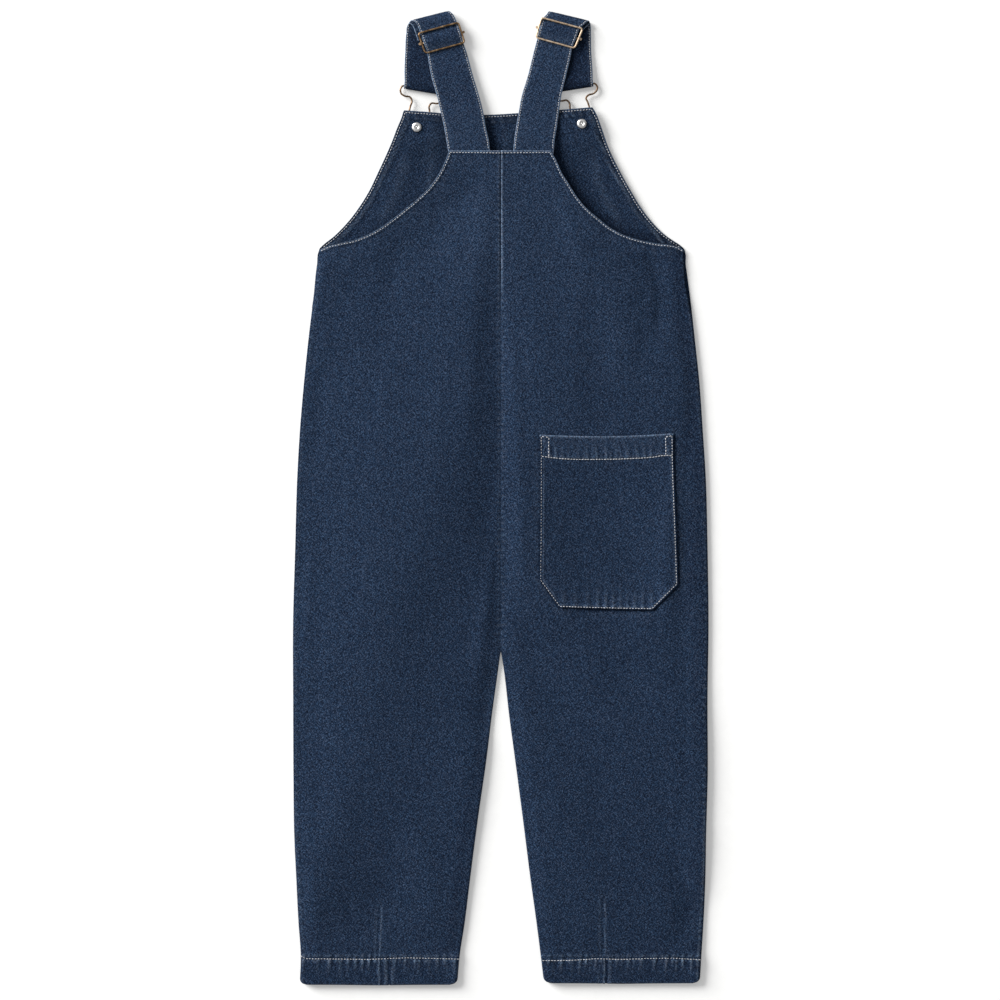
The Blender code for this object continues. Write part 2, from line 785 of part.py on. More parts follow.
def main():
    garment = clear_scene()
    denim = material("indigo_denim", (0.020, 0.034, 0.064), 0.9)
    bronze = material("antique_bronze", (0.22, 0.14, 0.07), 0.38, 1.0)
    nickel = material("bright_nickel", (0.75, 0.75, 0.74), 0.28, 1.0)
    pieces = [front_bib(denim), back_pocket(denim)]
    for side, name in SIDE_NAMES.items():
        pieces += [back_panel(side, denim), front_leg(side, denim), strap(side, denim)]
        frame_path = slider_frame_path(side)
        pieces.append(wire("slider_frame_" + name, frame_path, WIRE, True, bronze))
        bar_path = slider_bar_path(side)
        pieces.append(wire("slider_bar_" + name, bar_path, SLIDER_BAR_WIRE, False, bronze))
        hook_path = smooth_path(HOOKS[side], 2, closed=True)
        pieces.append(wire("hook_" + name, hook_path, WIRE, True, bronze))
        place = BUTTONS[side]
        pieces.append(turned("button_" + name, BUTTON_HEAD, place, 0.0, bronze))
        cloth_top = LIFT_HEIGHT + WALL + GAP
        pieces.append(turned("tack_" + name, TACK_BACK, place, cloth_top, nickel))
    for piece in pieces:
        garment.objects.link(piece)


main()
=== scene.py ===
import math

import bpy
import numpy as np
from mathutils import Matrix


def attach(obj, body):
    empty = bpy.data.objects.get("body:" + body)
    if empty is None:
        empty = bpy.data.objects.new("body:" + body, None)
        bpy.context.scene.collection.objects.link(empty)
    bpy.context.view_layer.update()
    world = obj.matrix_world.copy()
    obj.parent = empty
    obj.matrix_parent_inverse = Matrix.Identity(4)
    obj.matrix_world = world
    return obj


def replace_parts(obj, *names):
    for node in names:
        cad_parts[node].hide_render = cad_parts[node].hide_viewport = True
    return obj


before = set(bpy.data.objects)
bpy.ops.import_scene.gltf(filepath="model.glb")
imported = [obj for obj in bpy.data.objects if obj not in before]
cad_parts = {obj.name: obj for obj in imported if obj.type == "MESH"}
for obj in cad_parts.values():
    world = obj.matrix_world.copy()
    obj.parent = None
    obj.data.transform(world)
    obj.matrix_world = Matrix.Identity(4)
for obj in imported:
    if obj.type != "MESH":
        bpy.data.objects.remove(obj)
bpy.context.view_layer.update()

MM = 0.001
SEED = 11
FAR = 99.0  # a distance at which nothing is felt
SIDE_NAMES = {-1: "left", 1: "right"}

# Thicknesses
WALL = 1.2  # cloth of the solids: one layer of denim with its seam turnings
CLOTH = 1.05  # cloth of a plain panel here
HEM_CLOTH = 2.2
BACK_ROLL_CLOTH = 1.2  # most that the back panels have in their rolled edges
FRONT_ROLL_CLOTH = 1.1  # the same, of the front panels
RIM_BULGE = 0.35  # how far the middle of a cut edge stands out, in walls
STRAP_HALF = 0.62  # half the strap's thickness

# Heights above the surface it lies on
SEAM_HEIGHT = 2.05  # where the front and back panels' sides meet
BACK_BASE = 4.3  # outer face of the back panels, folds aside
RISE = 1.5  # how far the back panels' cloth stands off that between the seams
LOWEST_BACK = 2.4  # the back panels lie on the front ones there
HEM_TOP = 5.6  # outer face of the back panels' hem bands
TOP_EDGE = 8.9  # outer face of the back panels where they cover the straps' ends
SIDE_FALL = (2.0, 19.0)  # how far the back panels sink towards their sides, and over what width
INSEAM_FALL = (1.9, 17.0)  # the same, towards their inseams

# Lengthways places
BIB_NOMINAL_TOP = 387.0
WAIST = 190.0  # hidden seam between front bib and front legs
BACK_TOP = 346.5
UNDERARM = 248.0
CROTCH = -153.0
HEM_LINE = -460.0
HEM_BOTTOM = {-1: -486.5, 1: -485.0}  # left and right leg
HEM_CORNER = 6.0
ROLL_WIDTH = 2.2
FINE_ROLL = (0, 10, 22, 36, 50, 66)  # degrees round a panel's rolled edge
TOP_FALL = (BACK_TOP - 4.0, UNDERARM)
SIDE_ROLL = (UNDERARM + 1.0, UNDERARM - 10.0)
INSEAM_ROLL = (CROTCH + 2.0, CROTCH - 22.0)
BACK_HEM = (HEM_LINE + 10.0, HEM_LINE - 2.0)
CRISP_SEAM = (180.0, 240.0)  # above this the centre seam is sharp, with a ridge on its right that carries a painted highlight

# Edges and sewing
EDGE_TRIM = 0.8  # the armholes' edges lie this far inside their solids'
EDGE_INSET = 1.5  # from the back panels' free edges to their stitches
BIB_INSET = 1.6  # from the bib's free edge to its stitches
POCKET_INSET = 1.2  # from the pocket's edge to its stitches
STRAP_INSET = 1.7  # from a strap's edge to its stitches
UNDER_STITCH = 0.40  # height of the middle of the stitches that face the surface
SEWING = {
    # pitch, length and half width of the stitches
    "panels": (2.95, 2.35, 0.33),
    "pocket": (2.88, 2.4, 0.38),
    "pocket hem": (2.84, 2.72, 0.46),
    "straps": (2.5, 1.9, 0.27),
}

# Outlines
SIDES = (
    # y, left x, right x: the garment's sides
    (250, -180.6, 182.4), (233, -184, 185.2), (203, -187.2, 189.3), (158, -192.6, 194.3), (113, -197.2, 199),
    (68, -201, 202.1), (23, -203.6, 205), (-52, -205.8, 207), (-127, -207.9, 207.9), (-202, -207.8, 206.9),
    (-277, -207.5, 207.1), (-337, -206.7, 205.5), (-382, -204.6, 204.7), (-427, -202.3, 202.7),
    (-457, -200.2, 200.8), (-487, -201.2, 199),
)
INSEAMS = (
    # y, left leg x, right leg x: inside leg
    (-153, -0.15, 0.15), (-172, -2.7, 3.1), (-217, -8.9, 8.3), (-262, -14.4, 14.3), (-322, -23, 22.2),
    (-382, -30.8, 29.8), (-427, -36.4, 36), (-457, -41, 39.8), (-487, -43.6, 43.4),
)
ARMHOLES = (
    # y, left x, right x: armhole edge of the back panels
    (346.5, -52.2, 50.6), (338, -55.3, 55.5), (325, -61.6, 61.4), (313.5, -69.4, 68.6), (302, -80.4, 75.8),
    (290.5, -94.2, 85.2), (279, -108.7, 98.7), (269.5, -122.3, 111.3), (262.6, -135.6, 125.2),
    (258, -148, 140.4), (254.5, -163.3, 156.5), (251.5, -174, 176), (248, -180.8, 182.8),
)
BIB_SIDES = (
    # y, left x, right x: side edges of the front bib
    (387, -96.8, 91.4), (382, -98, 94.4), (370, -102.9, 99.4), (358, -107.6, 104.1), (346, -113, 109.2),
    (323, -123.7, 120.8), (308, -130.9, 129.2), (293, -140, 138.1), (278, -151.1, 149.3), (263, -165.3, 164.3),
    (250, -180.6, 182.4), (233, -184, 185.2), (203, -187.2, 189.3), (190, -189, 190.9),
)
BIB_TOP = (
    # x, y: top edge of the front bib
    (-98, 387), (-61, 384.5), (-16, 383), (17, 384.7), (59, 387.5), (92, 390),
)
BIB_TOP_FADE = 45.0  # below this depth the bib's rows are level
SIDE_TUCK = (214.0, 26.0)  # below the right armhole the side is tucked in: middle, half length
TUCK_DEPTH = 3.6
HEM_STITCHES = {
    # x, y of the hems' stitching
    -1: (
        (-200.1, -457.3), (-195.2, -460.5), (-157.2, -460.9), (-131.7, -461.2), (-93.4, -459.6),
        (-41.2, -460.9),
    ),
    1: (
        (41.3, -462.4), (70, -462.1), (95.5, -460.5), (121, -461.2), (153, -460.2), (172, -460),
        (200.1, -461.5),
    ),
}
DART = {-1: ((-120.9, -410), (-121.6, -440), (-122.8, -458)), 1: ((102.6, -400), (102.6, -457))}
DART_IN_HEM = {
    # x, height, half width of the dart's folds in the hem
    -1: ((-121.8, 0.55, 1), (-119.2, -0.25, 1.4), (-114.5, 0.18, 2.5), (-111.5, -0.85, 1.3)),
    1: ((97.5, 0.25, 2.6), (103.4, 0.55, 0.9), (105.4, -0.7, 1.2)),
}

# Patch pocket on the right leg's back
POCKET = (
    # y at left, left x, y at right, right x, by its sections
    (62.7, 39.4, 64, 172), (41.6, 40, 42.3, 172.3), (-20, 40, -20, 175), (-82.7, 39.4, -86.5, 177.2),
    (-109.5, 59.2, -112, 151.7),
)
POCKET_SAG = (2.2, 44.0)  # how far the middle of its top edge sinks, and down to what depth
POCKET_LIFT = 0.14  # its underside over the panel
POCKET_EDGE = (
    # x, y round the pocket, just outside it
    (38.9, 62), (39.4, 20), (39.4, -20), (38.8, -82.6), (58.6, -109.8), (105, -111.8), (151.9, -112.6),
    (177.9, -86.6), (176.8, -60), (175.2, -20), (173.5, 27), (172.9, 64),
)
POCKET_STITCHES = (
    # x, y round its sides and bottom, inside its edge
    (40.4, 61.4), (40.5, 20), (40.4, -20), (39.8, -81.9), (59, -108.3), (105, -109.8), (151, -110.6),
    (175.7, -85.9), (174.8, -60), (173.4, -20), (171.6, 27), (171, 62.4),
)
POCKET_HEM = (
    # x, y of its hem's stitching
    (41, 41.6), (60, 39.4), (95.5, 38.5), (130, 39.4), (150, 40.6), (164.5, 42.4), (171, 42.3),
)
POCKET_CORNERS = (
    # the lines of stitches that close the hem's ends
    ((40.8, 61.4), (48, 60.4)), ((48, 60.4), (47.9, 41)),
    ((171, 62.4), (164.6, 60.6)), ((164.6, 60.6), (164.9, 42.6)),
)

# Creases
# The rows of CREASES, CROSS_CREASES and SEAM_VALLEY are not placed by hand: a program fitted them to the
# photograph's light and dark.
CREASE_DEPTH = 1.55  # the back panels' creases are this many times as high as their table says
CREASES = (
    # height, half width left, half width right, then points (x, y) of the back panels' creases
    (1.44, 45, 16, ((-18, 330), (-22, 262), (-29, 190), (-33, 100), (-42, 20))),
    (0.81, 22, 28, ((32, 240), (32, 120), (30, -40), (31, -120))),
    (1.99, 62, 46, ((-49, 130), (-70, 0), (-100, -90), (-128, -190), (-156, -300))),
    (1.17, 22, 26, ((-152, -250), (-167, -330), (-184, -430))),
    (-0.57, 34, 39, ((-24, 20), (-43, -80), (-77, -180), (-104, -270), (-129, -380))),
    (-1.15, 33, 23, ((-116, -300), (-112, -370), (-127, -450))),
    (0.53, 15, 21, ((-76, -330), (-69, -400), (-76, -450))),
    (0.26, 10, 18, ((-116, 190), (-120, 90), (-127, -10))),
    (0.22, 9, 12, ((-159, 190), (-169, 90), (-173, -60))), (0.32, 19, 15, ((54, 300), (64, 220), (65, 140))),
    (0.41, 13, 16, ((99, 250), (117, 180), (114, 100))), (-0.38, 8, 16, ((138, 256), (145, 196), (140, 110))),
    (0.32, 13, 13, ((156, 220), (167, 130), (169, 60))), (-0.45, 10, 8, ((174, 236), (180, 190), (185, 140))),
    (0.31, 21, 20, ((112, -130), (125, -240), (140, -380))),
    (-0.31, 15, 15, ((88, -250), (105, -340), (106, -450))),
    (-1.3, 12, 12, ((176, -360), (188, -405), (180, -450))),
    (-0.19, 9, 10, ((161, -150), (166, -240), (163, -330))),
    (-1.38, 25, 28, ((-161, 220), (-181, 40), (-198, -140))),
    (-1.12, 38, 36, ((-23, 436), (-58, 316), (-85, 196))),
    (-1.37, 26, 27, ((-195, -179), (-190, -254), (-181, -329))),
    (1.6, 39, 38, ((165, -170), (209, -290), (250, -410))), (0.77, 18, 17, ((87, 424), (81, 244), (73, 64))),
    (1.43, 39, 39, ((-16, 304), (32, 184), (72, 64))),
    (1.62, 26, 26, ((-221, -299), (-205, -374), (-186, -449))),
    (-1.18, 6, 13, ((146, 247), (159, 202), (156, 157))), (0.87, 14, 8, ((1, 250), (16, 70), (21, -110))),
    (0.87, 37, 38, ((-80, -158), (-106, -278), (-137, -398))),
    (-0.66, 12, 11, ((181, -92), (185, -212), (190, -332))), (0.7, 7, 8, ((2, 40), (-11, -80), (-27, -200))),
    (-1.14, 18, 16, ((-21, 373), (-33, 328), (-44, 283))),
    (-0.48, 13, 13, ((-100, 322), (-110, 202), (-131, 82))),
    (0.66, 38, 38, ((-102, 172), (-123, -8), (-147, -188))),
    (-1.16, 26, 28, ((60, 10), (100, -110), (142, -230))), (1.26, 38, 38, ((27, 424), (96, 244), (156, 64))),
    (1.16, 37, 37, ((39, -230), (67, -350), (96, -470))),
    (-1.07, 18, 19, ((-7, -155), (-13, -200), (-18, -245))),
    (-0.96, 17, 17, ((-21, 379), (-32, 334), (-43, 289))), (0.99, 39, 38, ((73, 430), (40, 310), (12, 190))),
    (-0.51, 10, 13, ((-183, -62), (-189, -182), (-192, -302))),
    (-0.53, 16, 18, ((-52, 88), (13, -92), (77, -272))), (0.9, 7, 7, ((-175, 253), (-181, 208), (-186, 163))),
    (0.93, 38, 38, ((-55, -212), (-11, -332), (31, -452))), (0.87, 11, 11, ((33, 379), (57, 304), (88, 229))),
    (-0.7, 26, 25, ((-38, 391), (-57, 316), (-76, 241))), (-0.58, 7, 7, ((-176, 151), (-184, 76), (-192, 1))),
    (-1.23, 26, 27, ((106, 37), (126, -38), (141, -113))), (0.98, 11, 11, ((171, 19), (167, -56), (165, -131))),
    (-0.79, 26, 26, ((81, 31), (108, -44), (135, -119))), (-0.76, 17, 17, ((-21, 379), (-32, 334), (-43, 289))),
    (-0.44, 7, 7, ((193, 148), (187, 28), (183, -92))), (0.7, 17, 17, ((205, -317), (200, -362), (194, -407))),
)
CROSS_CREASES = (
    # height, half width up, half width down, then points (x, y) of short crossing creases
    (-0.3, 14, 9, ((-172, 224), (-140, 211), (-100, 214))),
    (0.23, 8, 11, ((-150, 240), (-120, 248), (-90, 262))),
    (-0.48, 10, 11, ((112, 235), (140, 238), (172, 227))), (0.56, 10, 8, ((80, 276), (110, 248), (150, 239))),
    (0.21, 10, 14, ((-190, -23), (-140, -60), (-90, -109))),
    (-0.37, 13, 11, ((20, -141), (50, -149), (90, -139))),
)
SEAM_VALLEY = (
    # y, depth, width of the left flank, of the right flank: the valley along the centre seam
    (335, 0, 10, 10), (290, 0.48, 9.8, 9.9), (250, 0.81, 12, 8), (222, 2.05, 13.8, 12.6),
    (150, 3.34, 16.7, 15.1), (60, 3.29, 17.7, 14.3), (-20, 4.29, 25.2, 14.8), (-100, 3.38, 20.9, 12.8),
    (-150, 2.39, 12.4, 11.9), (-175, 0.86, 10.2, 10.3), (-200, 0, 10, 10),
)
BIB_CREASES = (
    # height, half width left, half width right, then points (x, y), on the front bib's inner face
    (0.5, 12, 10, ((-96, 350), (-104, 310), (-124, 270))), (-0.3, 8, 10, ((-78, 356), (-84, 320), (-100, 285))),
    (0.45, 10, 9, ((92, 356), (100, 310), (122, 268))), (-0.3, 8, 8, ((76, 350), (90, 310), (108, 275))),
    (0.3, 7, 9, ((-66, 372), (-70, 330), (-72, 300))), (0.3, 7, 9, ((4, 380), (6, 340), (6, 300))),
)
# Random short lengthways creases: how many, then lowest and highest length, half width, height
SMALL_CREASES = (150, (26, 110), (2.6, 8), (-0.15, 0.17))
UNDER_CREASES = (60, (60, 220), (6, 18), (0.05, 0.30))  # the same, of the front panels

# Bib buttons: the bib lifts over each
BUTTONS = {-1: (-84.0, 370.5), 1: (81.0, 374.0)}
LIFT_HEIGHT = 5.2
LIFT_FLAT = 12.0
LIFT_REACH = 42.0
BIB_EDGE_POINTS = 60
BIB_EDGE_LIFT = (2.3, 17.0)  # how far the bib's free right edge stands up, and over what width
LATHE_STEPS = 40
BUTTON_RIM = (
    # radius, height: free face dished, rolled rim, back, post
    (0, 4.9), (2.2, 4.9), (2.25, 4), (2.3, 3), (2.7, 2.5), (4.5, 2.42), (6.6, 2.35), (7.5, 2.1), (8.1, 1.6),
    (8.25, 1.1), (8.05, 0.55), (7.5, 0.15), (6.9, 0), (6.4, 0.15), (6, 0.5), (4.2, 0.55), (3.6, 0.25),
    (2.4, 0.1), (0, 0.05),
)
TACK_DOME = (
    # radius, height: dimple, domed ring, rim, underside
    (0, 1.25), (0.5, 1.2), (0.85, 0.95), (1.15, 0.85), (1.45, 1.1), (1.8, 1.55), (2.3, 1.85), (2.9, 1.9),
    (3.5, 1.72), (4, 1.4), (4.45, 0.98), (4.75, 0.6), (4.95, 0.35), (4.85, 0.1), (4.4, 0), (0, 0),
)

# Straps, from the end under the back panel to the fold over the shoulder
STRAP_PLANS = {
    # outer x, outer y, inner x, inner y; the last four are under the slider's lower wire, over its
    # bar, under its upper wire, and at the fold
    -1: (
        (-48.5, 332, -7, 332), (-52.5, 347, -10.5, 347), (-54.5, 358, -12, 358), (-56.5, 370, -14.8, 370),
        (-60.4, 387, -17.8, 387), (-63.4, 400, -21.1, 400), (-69.5, 422, -28.3, 424), (-72.2, 437, -34.6, 447),
        (-73.5, 445.3, -37.4, 455), (-77, 454.5, -39.8, 464), (-80.2, 464.2, -43.4, 474.2),
        (-86.2, 475.9, -49.2, 485),
    ),
    1: (
        (50.5, 332, 9, 332), (53, 347, 12.5, 347), (54, 358, 13.5, 358), (56, 370, 15.3, 370),
        (58.5, 388, 18.3, 388), (60.2, 400, 20.5, 400), (65.3, 422, 27, 422), (70, 442, 34, 450),
        (71.6, 450.4, 36.6, 459.8), (75.5, 460, 38.9, 469.6), (79.1, 469.2, 42, 479.2),
        (85.8, 475.4, 46.6, 484.5),
    ),
}
STRAP_HEIGHTS = (
    # outer, inner height of the strap's middle at those sections
    (6.4, 6.4), (6.8, 6.8), (6.9, 6.7), (6.9, 6.4), (6.7, 5.9), (6.5, 5.4), (6.1, 4.9), (5.1, 4.6),
    (4.75, 4.75), (7.6, 7.6), (6.1, 6.1), (5.8, 5.8),
)
OVER_BAR = 9  # the section over the slider's bar
SHADING_EDGE = (
    # x, y: how the outer edge whose painted shadow darkens the right strap's hanging stretch goes on past its
    # eighth section
    (71.6, 450.4), (75.3, 460), (79.1, 468.4), (87.3, 473.8),
)
HANGING_PLANS = {
    # outer x, outer y, inner x, inner y of the stretch behind, from the shoulder fold to the hook's bar
    -1: (
        (-93.2, 473.3, -54.8, 483.4), (-94.6, 465, -55, 474), (-95.6, 448, -57, 449), (-96.4, 427, -58.2, 423),
        (-96.6, 411.9, -58.8, 405.6),
    ),
    1: (
        (89.9, 473.2, 48.6, 483.4), (90.2, 465, 50.5, 473), (90.4, 448, 52, 449), (91.8, 427, 53.8, 424),
        (92.3, 414.1, 54.6, 408.1),
    ),
}
RETURN_HEIGHTS = (2.4, 2.4, 2.4, 3.4, 4.5)  # middle of the layer that runs back up from the hook
FOLD_MIDDLE = 3.25  # height of the shoulder fold's axis
OUTER_FOLD = 2.55  # radius of the strap's middle round that axis, outer and nested layer
NESTED_FOLD = 0.85
NESTED_SHIFT = {-1: (-4.4, -1.8), 1: (3.4, -1.4)}  # x and y of the layer that comes back inside the fold
HOOK_BAR_HEIGHT = 2.6
HOOK_TURN = 1.9  # radius of the strap's middle round the hook's bar
FOLD_STEPS = 6
SEWN_END = 0.45  # share of the way from slider bar to upper bar where the strap's end is sewn
NEAR_EDGE = (0, 0.1, 0.3, 0.6, 0.95, 1.3, 1.6, 1.9, 2.2, 2.8, 4)  # columns of points beside a strap's edge

# Wire slider and hook
SLIDER_CORNERS = {
    # x, y: outer lower, inner lower, inner upper, outer upper
    -1: ((-75.4, 444.4), (-36, 455.1), (-42.4, 475), (-82.4, 464)),
    1: ((73.9, 449.4), (35.2, 460.1), (40.8, 479.7), (81.8, 468.7)),
}
SLIDER_LOWER = 6.15
SLIDER_UPPER = 7.85
SLIDER_CORNER = 3.0
BAR_DROP = 1.0  # how far the slider's bar lies below the middle of its frame
BAR_CURL = (
    # distance past the side wire, height over it
    (-8, 0), (-5, 0), (-3.2, -0.5), (-1.6, -1.7), (0.2, -2.05), (1.7, -1.3), (2.05, 0.2),
)
HOOKS = {
    # x, y, z from its bar's outer end inwards, down round the button's post and back up
    -1: (
        (-93, 411.4, 2.6), (-78, 408.8, 2.6), (-62, 406.3, 2.6), (-57.2, 405.4, 2.6), (-54.4, 402.2, 2.6),
        (-56.2, 397.6, 2.6), (-60, 395.2, 2.7), (-64.5, 394.6, 2.8), (-69.4, 394.8, 2.8), (-71.6, 392, 2.8),
        (-71.2, 386.5, 2.8), (-73, 380.5, 3.3), (-78.3, 374.6, 3.8), (-80.3, 371.5, 3.8), (-81.1, 368, 3.8),
        (-84, 366.7, 3.8), (-86.9, 368, 3.8), (-87.7, 371.5, 3.8), (-89.3, 374.8, 3.8), (-91.6, 380.5, 3.3),
        (-91.6, 387, 2.8), (-90.4, 392, 2.8), (-88.9, 397, 2.8), (-90.6, 400.9, 2.8), (-96, 402.2, 2.7),
        (-99.3, 404.2, 2.6), (-100.4, 408.8, 2.6), (-98.4, 412.1, 2.6),
    ),
    1: (
        (89, 413.7, 2.6), (74, 411.3, 2.6), (58, 408.8, 2.6), (52.6, 407.6, 2.6), (49.8, 404.4, 2.6),
        (51.8, 399.6, 2.6), (56, 397.4, 2.7), (61, 397.2, 2.8), (66.2, 397.8, 2.8), (68.6, 395.2, 2.8),
        (69.4, 389.5, 2.8), (71.4, 384, 3.3), (75.4, 378.2, 3.8), (77.3, 375, 3.8), (78.1, 371.5, 3.8),
        (81, 370.2, 3.8), (83.9, 371.5, 3.8), (84.7, 375, 3.8), (86.4, 379.4, 3.8), (88.3, 384.5, 3.3),
        (88.6, 390.5, 2.8), (87.2, 395.5, 2.8), (85.4, 400.5, 2.8), (87.8, 403.1, 2.8), (92.6, 404.6, 2.7),
        (95.8, 407.6, 2.6), (96.6, 411.2, 2.6), (94.2, 414.5, 2.6),
    ),
}

# Colours
FLECK_STEP = 1.6  # millimetres between the places that are compared
DENIM_STEPS = (
    # place, colour: from the dark indigo between the threads to the pale weft that shows through
    (0.0, (0.0018, 0.0049, 0.0138)),
    (0.30, (0.0057, 0.0136, 0.0317)),
    (0.52, (0.0111, 0.0233, 0.0502)),
    (0.72, (0.0190, 0.0363, 0.0730)),
    (1.0, (0.0490, 0.0785, 0.1370)),
)
WORN = (0.215, 0.280, 0.375)
TINTS = ((0.32, (1.0, 0.90, 0.88)), (0.68, (0.84, 0.95, 1.0)))
METALS = {
    # place of the middle colour, dark, middle and light colour, least and most roughness, scale of
    # the specks, depth of the dents in millimetres
    "antique_bronze": (
        0.45, (0.042, 0.023, 0.011), (0.200, 0.123, 0.062), (0.58, 0.42, 0.27), 0.36, 0.52, 260, 0.05,
    ),
    # a paler copy of the antique bronze: painted highlight for the right slider
    "painted_lit_bronze": (
        0.45, (0.11, 0.075, 0.045), (0.52, 0.40, 0.285), (0.72, 0.62, 0.50), 0.56, 0.70, 260, 0.05,
    ),
    "dark_bronze": (
        0.45, (0.035, 0.021, 0.013), (0.140, 0.088, 0.054), (0.34, 0.24, 0.155), 0.44, 0.58, 260, 0.05,
    ),
    "bright_nickel": (0.3, (0.22, 0.22, 0.22), (0.70, 0.70, 0.70), (0.96, 0.96, 0.95), 0.36, 0.50, 300, 0.03),
}

# Light
KEY_DISTANCE = 14.0
KEY_ELEVATION = 19.5
KEY_AZIMUTH = 148.0  # counted from the garment's +X side: from above left of the photograph
KEY_SIZE = 9.4
KEY_POWER = 5150.0
SKY = 0.40


def ramp(value, start, end):
    """0 at start, 1 at end, smooth between."""
    t = np.clip((value - start) / (end - start), 0.0, 1.0)
    return t * t * (3 - 2 * t)


def bell(distance, width):
    """1 at distance 0, falling softly to 0 on both sides."""
    return np.exp(-((distance / width) ** 2))


def bump(distance, width):
    """Like bell, with a sharper top."""
    return np.exp(-np.abs(distance / width) ** 1.8)


def hermite(t, step, first, last, start_slope, end_slope):
    """What lies between two places, from the values and slopes there; t runs from 0 to 1."""
    return (
        (1 + 2 * t) * (1 - t) ** 2 * first
        + t * (1 - t) ** 2 * step * start_slope
        + t * t * (3 - 2 * t) * last
        + t * t * (t - 1) * step * end_slope
    )


def curve(table, column, place):
    """The value in a table's column at places in its first column, on a curve through the rows."""
    rows = np.array(sorted(table), float)
    places, values = rows[:, 0], rows[:, column]
    slopes = np.gradient(values, places)
    place = np.clip(np.asarray(place, float), places[0], places[-1])
    i = np.clip(np.searchsorted(places, place, side="right") - 1, 0, len(rows) - 2)
    step = places[i + 1] - places[i]
    t = (place - places[i]) / step
    return hermite(t, step, values[i], values[i + 1], slopes[i], slopes[i + 1])


def soft_floor(value, lowest, blend):
    """The value, kept above a lowest one with a soft bend."""
    return (value + lowest + np.sqrt((value - lowest) ** 2 + blend**2)) / 2


def ripples(along, across, pitch, slant, seed):
    """Uneven ropy ripples, -1 to 1, that cross a seam."""
    chance = np.random.default_rng(seed)
    a, b, c = chance.uniform(0, 2 * math.pi, 3)
    phase = along / pitch + 0.42 * np.sin(along / 14.5 + a) + 0.3 * np.sin(along / 37.0 + b)
    wave = np.sin(2 * math.pi * phase + slant * across + c)
    size = 0.6 + 0.4 * np.sin(along / 21.0 + b) * np.sin(along / 9.3 + c)
    return wave * size


def line_distance(x, y, line):
    """How far each place is from a line through (x, y) points."""
    nearest = np.full(np.shape(x), 1e9)
    for (ax, ay), (bx, by) in zip(line[:-1], line[1:]):
        length2 = (bx - ax) ** 2 + (by - ay) ** 2
        t = np.clip(((x - ax) * (bx - ax) + (y - ay) * (by - ay)) / length2, 0.0, 1.0)
        nearest = np.minimum(nearest, np.hypot(x - ax - t * (bx - ax), y - ay - t * (by - ay)))
    return nearest


def crease_field(table, x, y, lengthways=True):
    """What creases add at each place: each follows its points, wider on one side than on the other."""
    along, beside = (y, x) if lengthways else (x, y)
    total = np.zeros(np.shape(x))
    for height, before, after, points in table:
        knots = np.array(points)
        if lengthways:
            knots = knots[:, ::-1]
        knots = knots[np.argsort(knots[:, 0])]
        start, end = knots[0, 0], knots[-1, 0]
        length = end - start
        middle = curve(knots.tolist(), 1, along)
        tilt = math.hypot(knots[-1, 1] - knots[0, 1], length) / length
        away = (beside - middle) / tilt
        width = np.where(away < 0, before, after)
        fade = 0.28 * length
        ends = ramp(along, start - 0.1 * length, start + fade) * ramp(along, end + 0.1 * length, end - fade)
        total += height * ends * bump(away, width)
    return total


def small_creases(chance, settings, box):
    """Rows for crease_field: short creases in random places of a box (left, right, low, high)."""
    count, lengths, widths, heights = settings
    left, right, low, high = box
    rows = []
    for _ in range(count):
        x, y = chance.uniform(left, right), chance.uniform(low, high)
        length = chance.uniform(*lengths)
        drift = length * chance.uniform(-0.16, 0.16)
        bow = length * chance.uniform(-0.04, 0.04)
        points = ((x, y), (x + drift / 2 + bow, y - length / 2), (x + drift, y - length))
        width = chance.uniform(*widths)
        lean = chance.uniform(0.7, 1.4)
        rows.append((chance.uniform(*heights), width * lean, width / lean, points))
    return rows


RANDOM_CREASES = small_creases(np.random.default_rng(SEED), SMALL_CREASES, (-205, 205, -440, 330))


def side_column(side):
    """The outlines' column for a side."""
    return 1 if side < 0 else 2


def by_side(side, outer, inner):
    """What is on the left, then what is on the right."""
    return (outer, inner) if side < 0 else (inner, outer)


def from_side(x, y, side):
    """How far inside the garment's side each place is."""
    return side * (curve(SIDES, side_column(side), y) - x)


def from_inseam(x, y, side):
    """How far from the inseam each place of a leg is."""
    return np.where(y < CROTCH, side * (x - curve(INSEAMS, side_column(side), y)), FAR)


def hem_inset(side, y):
    """How far a hem's rounded corner pulls a leg's edge in."""
    above = np.clip(y - HEM_BOTTOM[side], 0.0, HEM_CORNER)
    return HEM_CORNER - np.sqrt(HEM_CORNER**2 - (HEM_CORNER - above) ** 2)


def tucked(y):
    """How far the right side is tucked in at each y, 0 to 1."""
    return bump(y - SIDE_TUCK[0], SIDE_TUCK[1])


def seam_valley(x, y):
    """Depth of the valley along the centre seam, whose flanks are steepest beside the seam."""
    width = np.where(x < 0.0, curve(SEAM_VALLEY, 2, y), curve(SEAM_VALLEY, 3, y))
    away = np.sqrt((x / width) ** 2 + 0.01)
    return curve(SEAM_VALLEY, 1, y) * np.exp(-(away**1.15))


def bib_lift(x, y):
    """Height of the front bib's outer face, which lifts over the two buttons."""
    lift = np.zeros(np.shape(x))
    for bx, by in BUTTONS.values():
        away = np.hypot(x - bx, y - by)
        lift = np.maximum(lift, LIFT_HEIGHT * (1.0 - ramp(away, LIFT_FLAT, LIFT_REACH)))
    height, reach = BIB_EDGE_LIFT
    inset = curve(BIB_SIDES, 2, y) - x
    return np.maximum(lift, height * bell(np.maximum(inset, 0.0), reach) * ramp(y, 262.0, 300.0))


# Materials


def add_node(tree, kind, values=(), links=(), **settings):
    """A shader node with its settings, input values (name or index: value) and links (input: socket)."""
    node = tree.nodes.new(kind)
    for name, value in settings.items():
        setattr(node, name, value)
    for name, value in dict(values).items():
        node.inputs[name].default_value = value
    for name, socket in dict(links).items():
        tree.links.new(socket, node.inputs[name])
    return node


